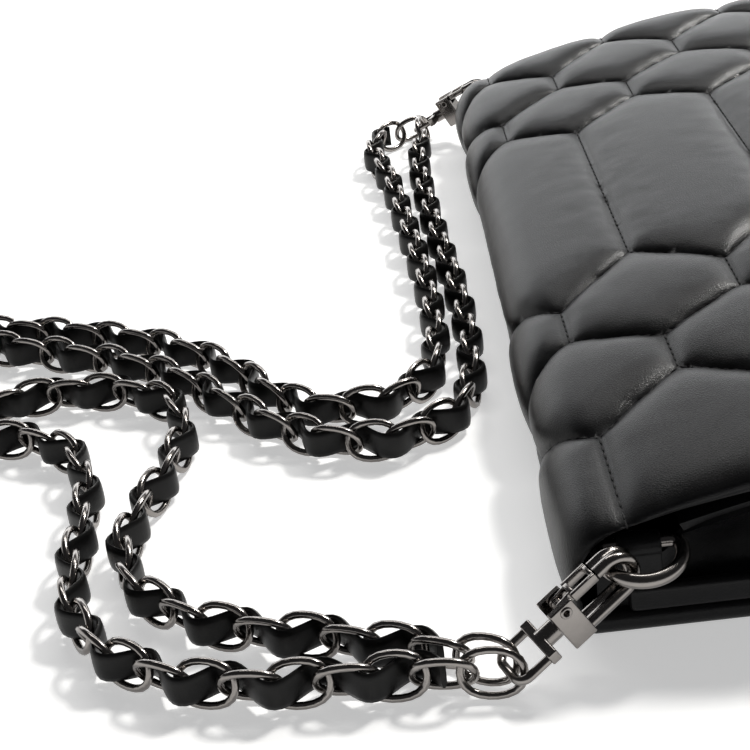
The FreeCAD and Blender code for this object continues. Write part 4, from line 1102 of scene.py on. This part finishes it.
def ribbon(name, material, line, width, thick):
    """A flat strip on edge along a line, with rounded edges."""
    turn = np.linspace(0, 2 * math.pi, LACE_POINTS + 1)[:-1]
    flat, full = LACE_POWERS
    section = np.stack([
        np.sign(np.cos(turn)) * np.abs(np.cos(turn)) ** flat * thick / 2,
        np.sign(np.sin(turn)) * np.abs(np.sin(turn)) ** full * width / 2,
    ], axis=1) * MM
    up = np.array((0, 0, 1))
    rings = [p + section[:, :1] * s + section[:, 1:] * up for p, s in zip(line, left_of(line))]
    count = len(section)
    faces = []
    for i in range(len(rings) - 1):
        for j in range(count):
            k = (j + 1) % count
            faces.append((i * count + j, (i + 1) * count + j, (i + 1) * count + k, i * count + k))
    faces.append(tuple(range(count)))
    faces.append(tuple((len(rings) - 1) * count + j for j in reversed(range(count))))
    piece = from_faces(name, material, rings, faces)
    pick(piece)
    bpy.ops.object.mode_set(mode="EDIT")
    bpy.ops.mesh.select_all(action="SELECT")
    bpy.ops.mesh.normals_make_consistent(inside=False)
    bpy.ops.object.mode_set(mode="OBJECT")
    return piece


def make_strand(name, route, end_lift):
    """One strand: links along its route, tilted to and fro, and the lace woven through them."""
    line = Line(route_points(route))
    count = round(line.length / (LINK_PITCH * MM))
    joints = line.at(np.linspace(0, 1, count + 1))
    places = []
    for i, (a, b) in enumerate(zip(joints, joints[1:])):
        heading = math.atan2(b[1] - a[1], b[0] - a[0])
        middle = Vector((a + b) / 2)
        middle.z += end_lift * MM if i == count - 1 else 0
        tilt = math.radians(LINK_TILT_DEG) * (-1) ** i
        turn = Matrix.Rotation(heading, 4, "Z") @ Matrix.Rotation(tilt, 4, "X")
        places.append(Matrix.Translation(middle) @ turn)
    links = copies(f"{name}_chain", GUNMETAL, link_model(), places)
    finish_piece(links, "bag", LINK_SMOOTH_DEG)
    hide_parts(f"{name}_links")

    first, last = BARE_LINKS + 0.5, count - BARE_LINKS - 0.5
    steps = np.linspace(first, last, round(last - first) * LACE_STEPS + 1)
    middle = line.at(steps / count)
    sway = -np.cos(math.pi * steps) * LACE_SWING * MM
    woven = middle + left_of(middle) * sway[:, None]
    lace = ribbon(f"{name}_ribbon", LACE_LEATHER, woven, LACE_WIDTH, LACE_THICK)
    finish_piece(lace, "bag", SKIN_SMOOTH_DEG)
    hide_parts(f"{name}_lace")
    tuple(woven[0])


def dress_nodes():
    """Finishes for the pieces that keep their solid shapes."""
    for slot in frame["record"]["subparts"]:
        node = frame["nodes"][slot["node"]]
        node.data.materials.clear()
        node.data.materials.append(FINISHES[slot["material_slot"]])


def studio():
    """White sweep, soft lights and the camera."""
    deselect()
    bpy.ops.mesh.primitive_plane_add(size=FLOOR_SIZE)
    floor = name_piece("floor", white_floor("white_floor"))
    bpy.context.scene.world = bpy.data.worlds.new("studio")
    room = Finish(bpy.context.scene.world)
    way = room.node("ShaderNodeTexCoord", {}, {}, 0)
    height = room.node("ShaderNodeSeparateXYZ", {}, {"Vector": way}, 2)
    walls = room.ramp(height, WALL_STOPS)
    back = room.node("ShaderNodeBackground", {}, {"Color": walls, "Strength": 1.0})
    fill = room.node("ShaderNodeBackground", {}, {"Color": FILL_TINT, "Strength": WORLD_FILL})
    sky = room.node("ShaderNodeMixShader", {}, {"Fac": room.shown(), "Shader": fill, "Shader_001": back})
    room.node("ShaderNodeOutputWorld", {}, {"Surface": sky})
    for name, place, aim, size, power, tint in LAMPS:
        lamp = bpy.data.lights.new(name, "AREA")
        lamp.shape = "RECTANGLE"
        lamp.size, lamp.size_y = size
        lamp.energy = power
        lamp.color = tint
        holder = put(name, lamp)
        holder.location = place
        holder.rotation_euler = (Vector(aim) - Vector(place)).to_track_quat("-Z", "Y").to_euler()
    camera = bpy.data.cameras.new("camera")
    camera.lens = CAMERA_LENS
    camera.clip_start = CAMERA_CLIP
    holder = put("camera", camera)
    heading, pitch = math.radians(CAMERA_HEADING_DEG), math.radians(CAMERA_PITCH_DEG)
    level_reach = math.cos(pitch)
    forward = Vector((level_reach * math.cos(heading), level_reach * math.sin(heading), math.sin(pitch)))
    level = forward.cross(Vector((0, 0, 1))).normalized()
    down = forward.cross(level)
    roll = math.radians(CAMERA_ROLL_DEG)
    right = level * math.cos(roll) + down * math.sin(roll)
    up = level * math.sin(roll) - down * math.cos(roll)
    turn = Matrix((right, up, -forward)).transposed().to_4x4()
    holder.matrix_world = Matrix.Translation(Vector(CAMERA_PLACE) * MM) @ turn
    bpy.context.scene.camera = holder
    bpy.context.scene.view_settings.view_transform = "Standard"


# The bag, piece by piece
dress_nodes()
make_flap()
make_front()
make_back()
make_gussets()
make_bands()
make_tabs()
make_lining("back_sheet", "back_lining", "bag", BACK_LINING)
make_lining("front_sheet", "front_lining", "bag", FRONT_LINING)
make_lining("flap_sheet", "flap_lining", "flap", FLAP_LINING)
make_pocket()
clasps = []
for side in SIDES:
    clasps += [make_gate(side), make_rivet(side)]
    clasps += [frame["nodes"][f"{side}_{part}"] for part in ("eye", "hook", "gate_spring")]
make_strand("outer", OUTER_ROUTE, 0)
make_strand("inner", INNER_ROUTE, FAR_LIFT)
studio()
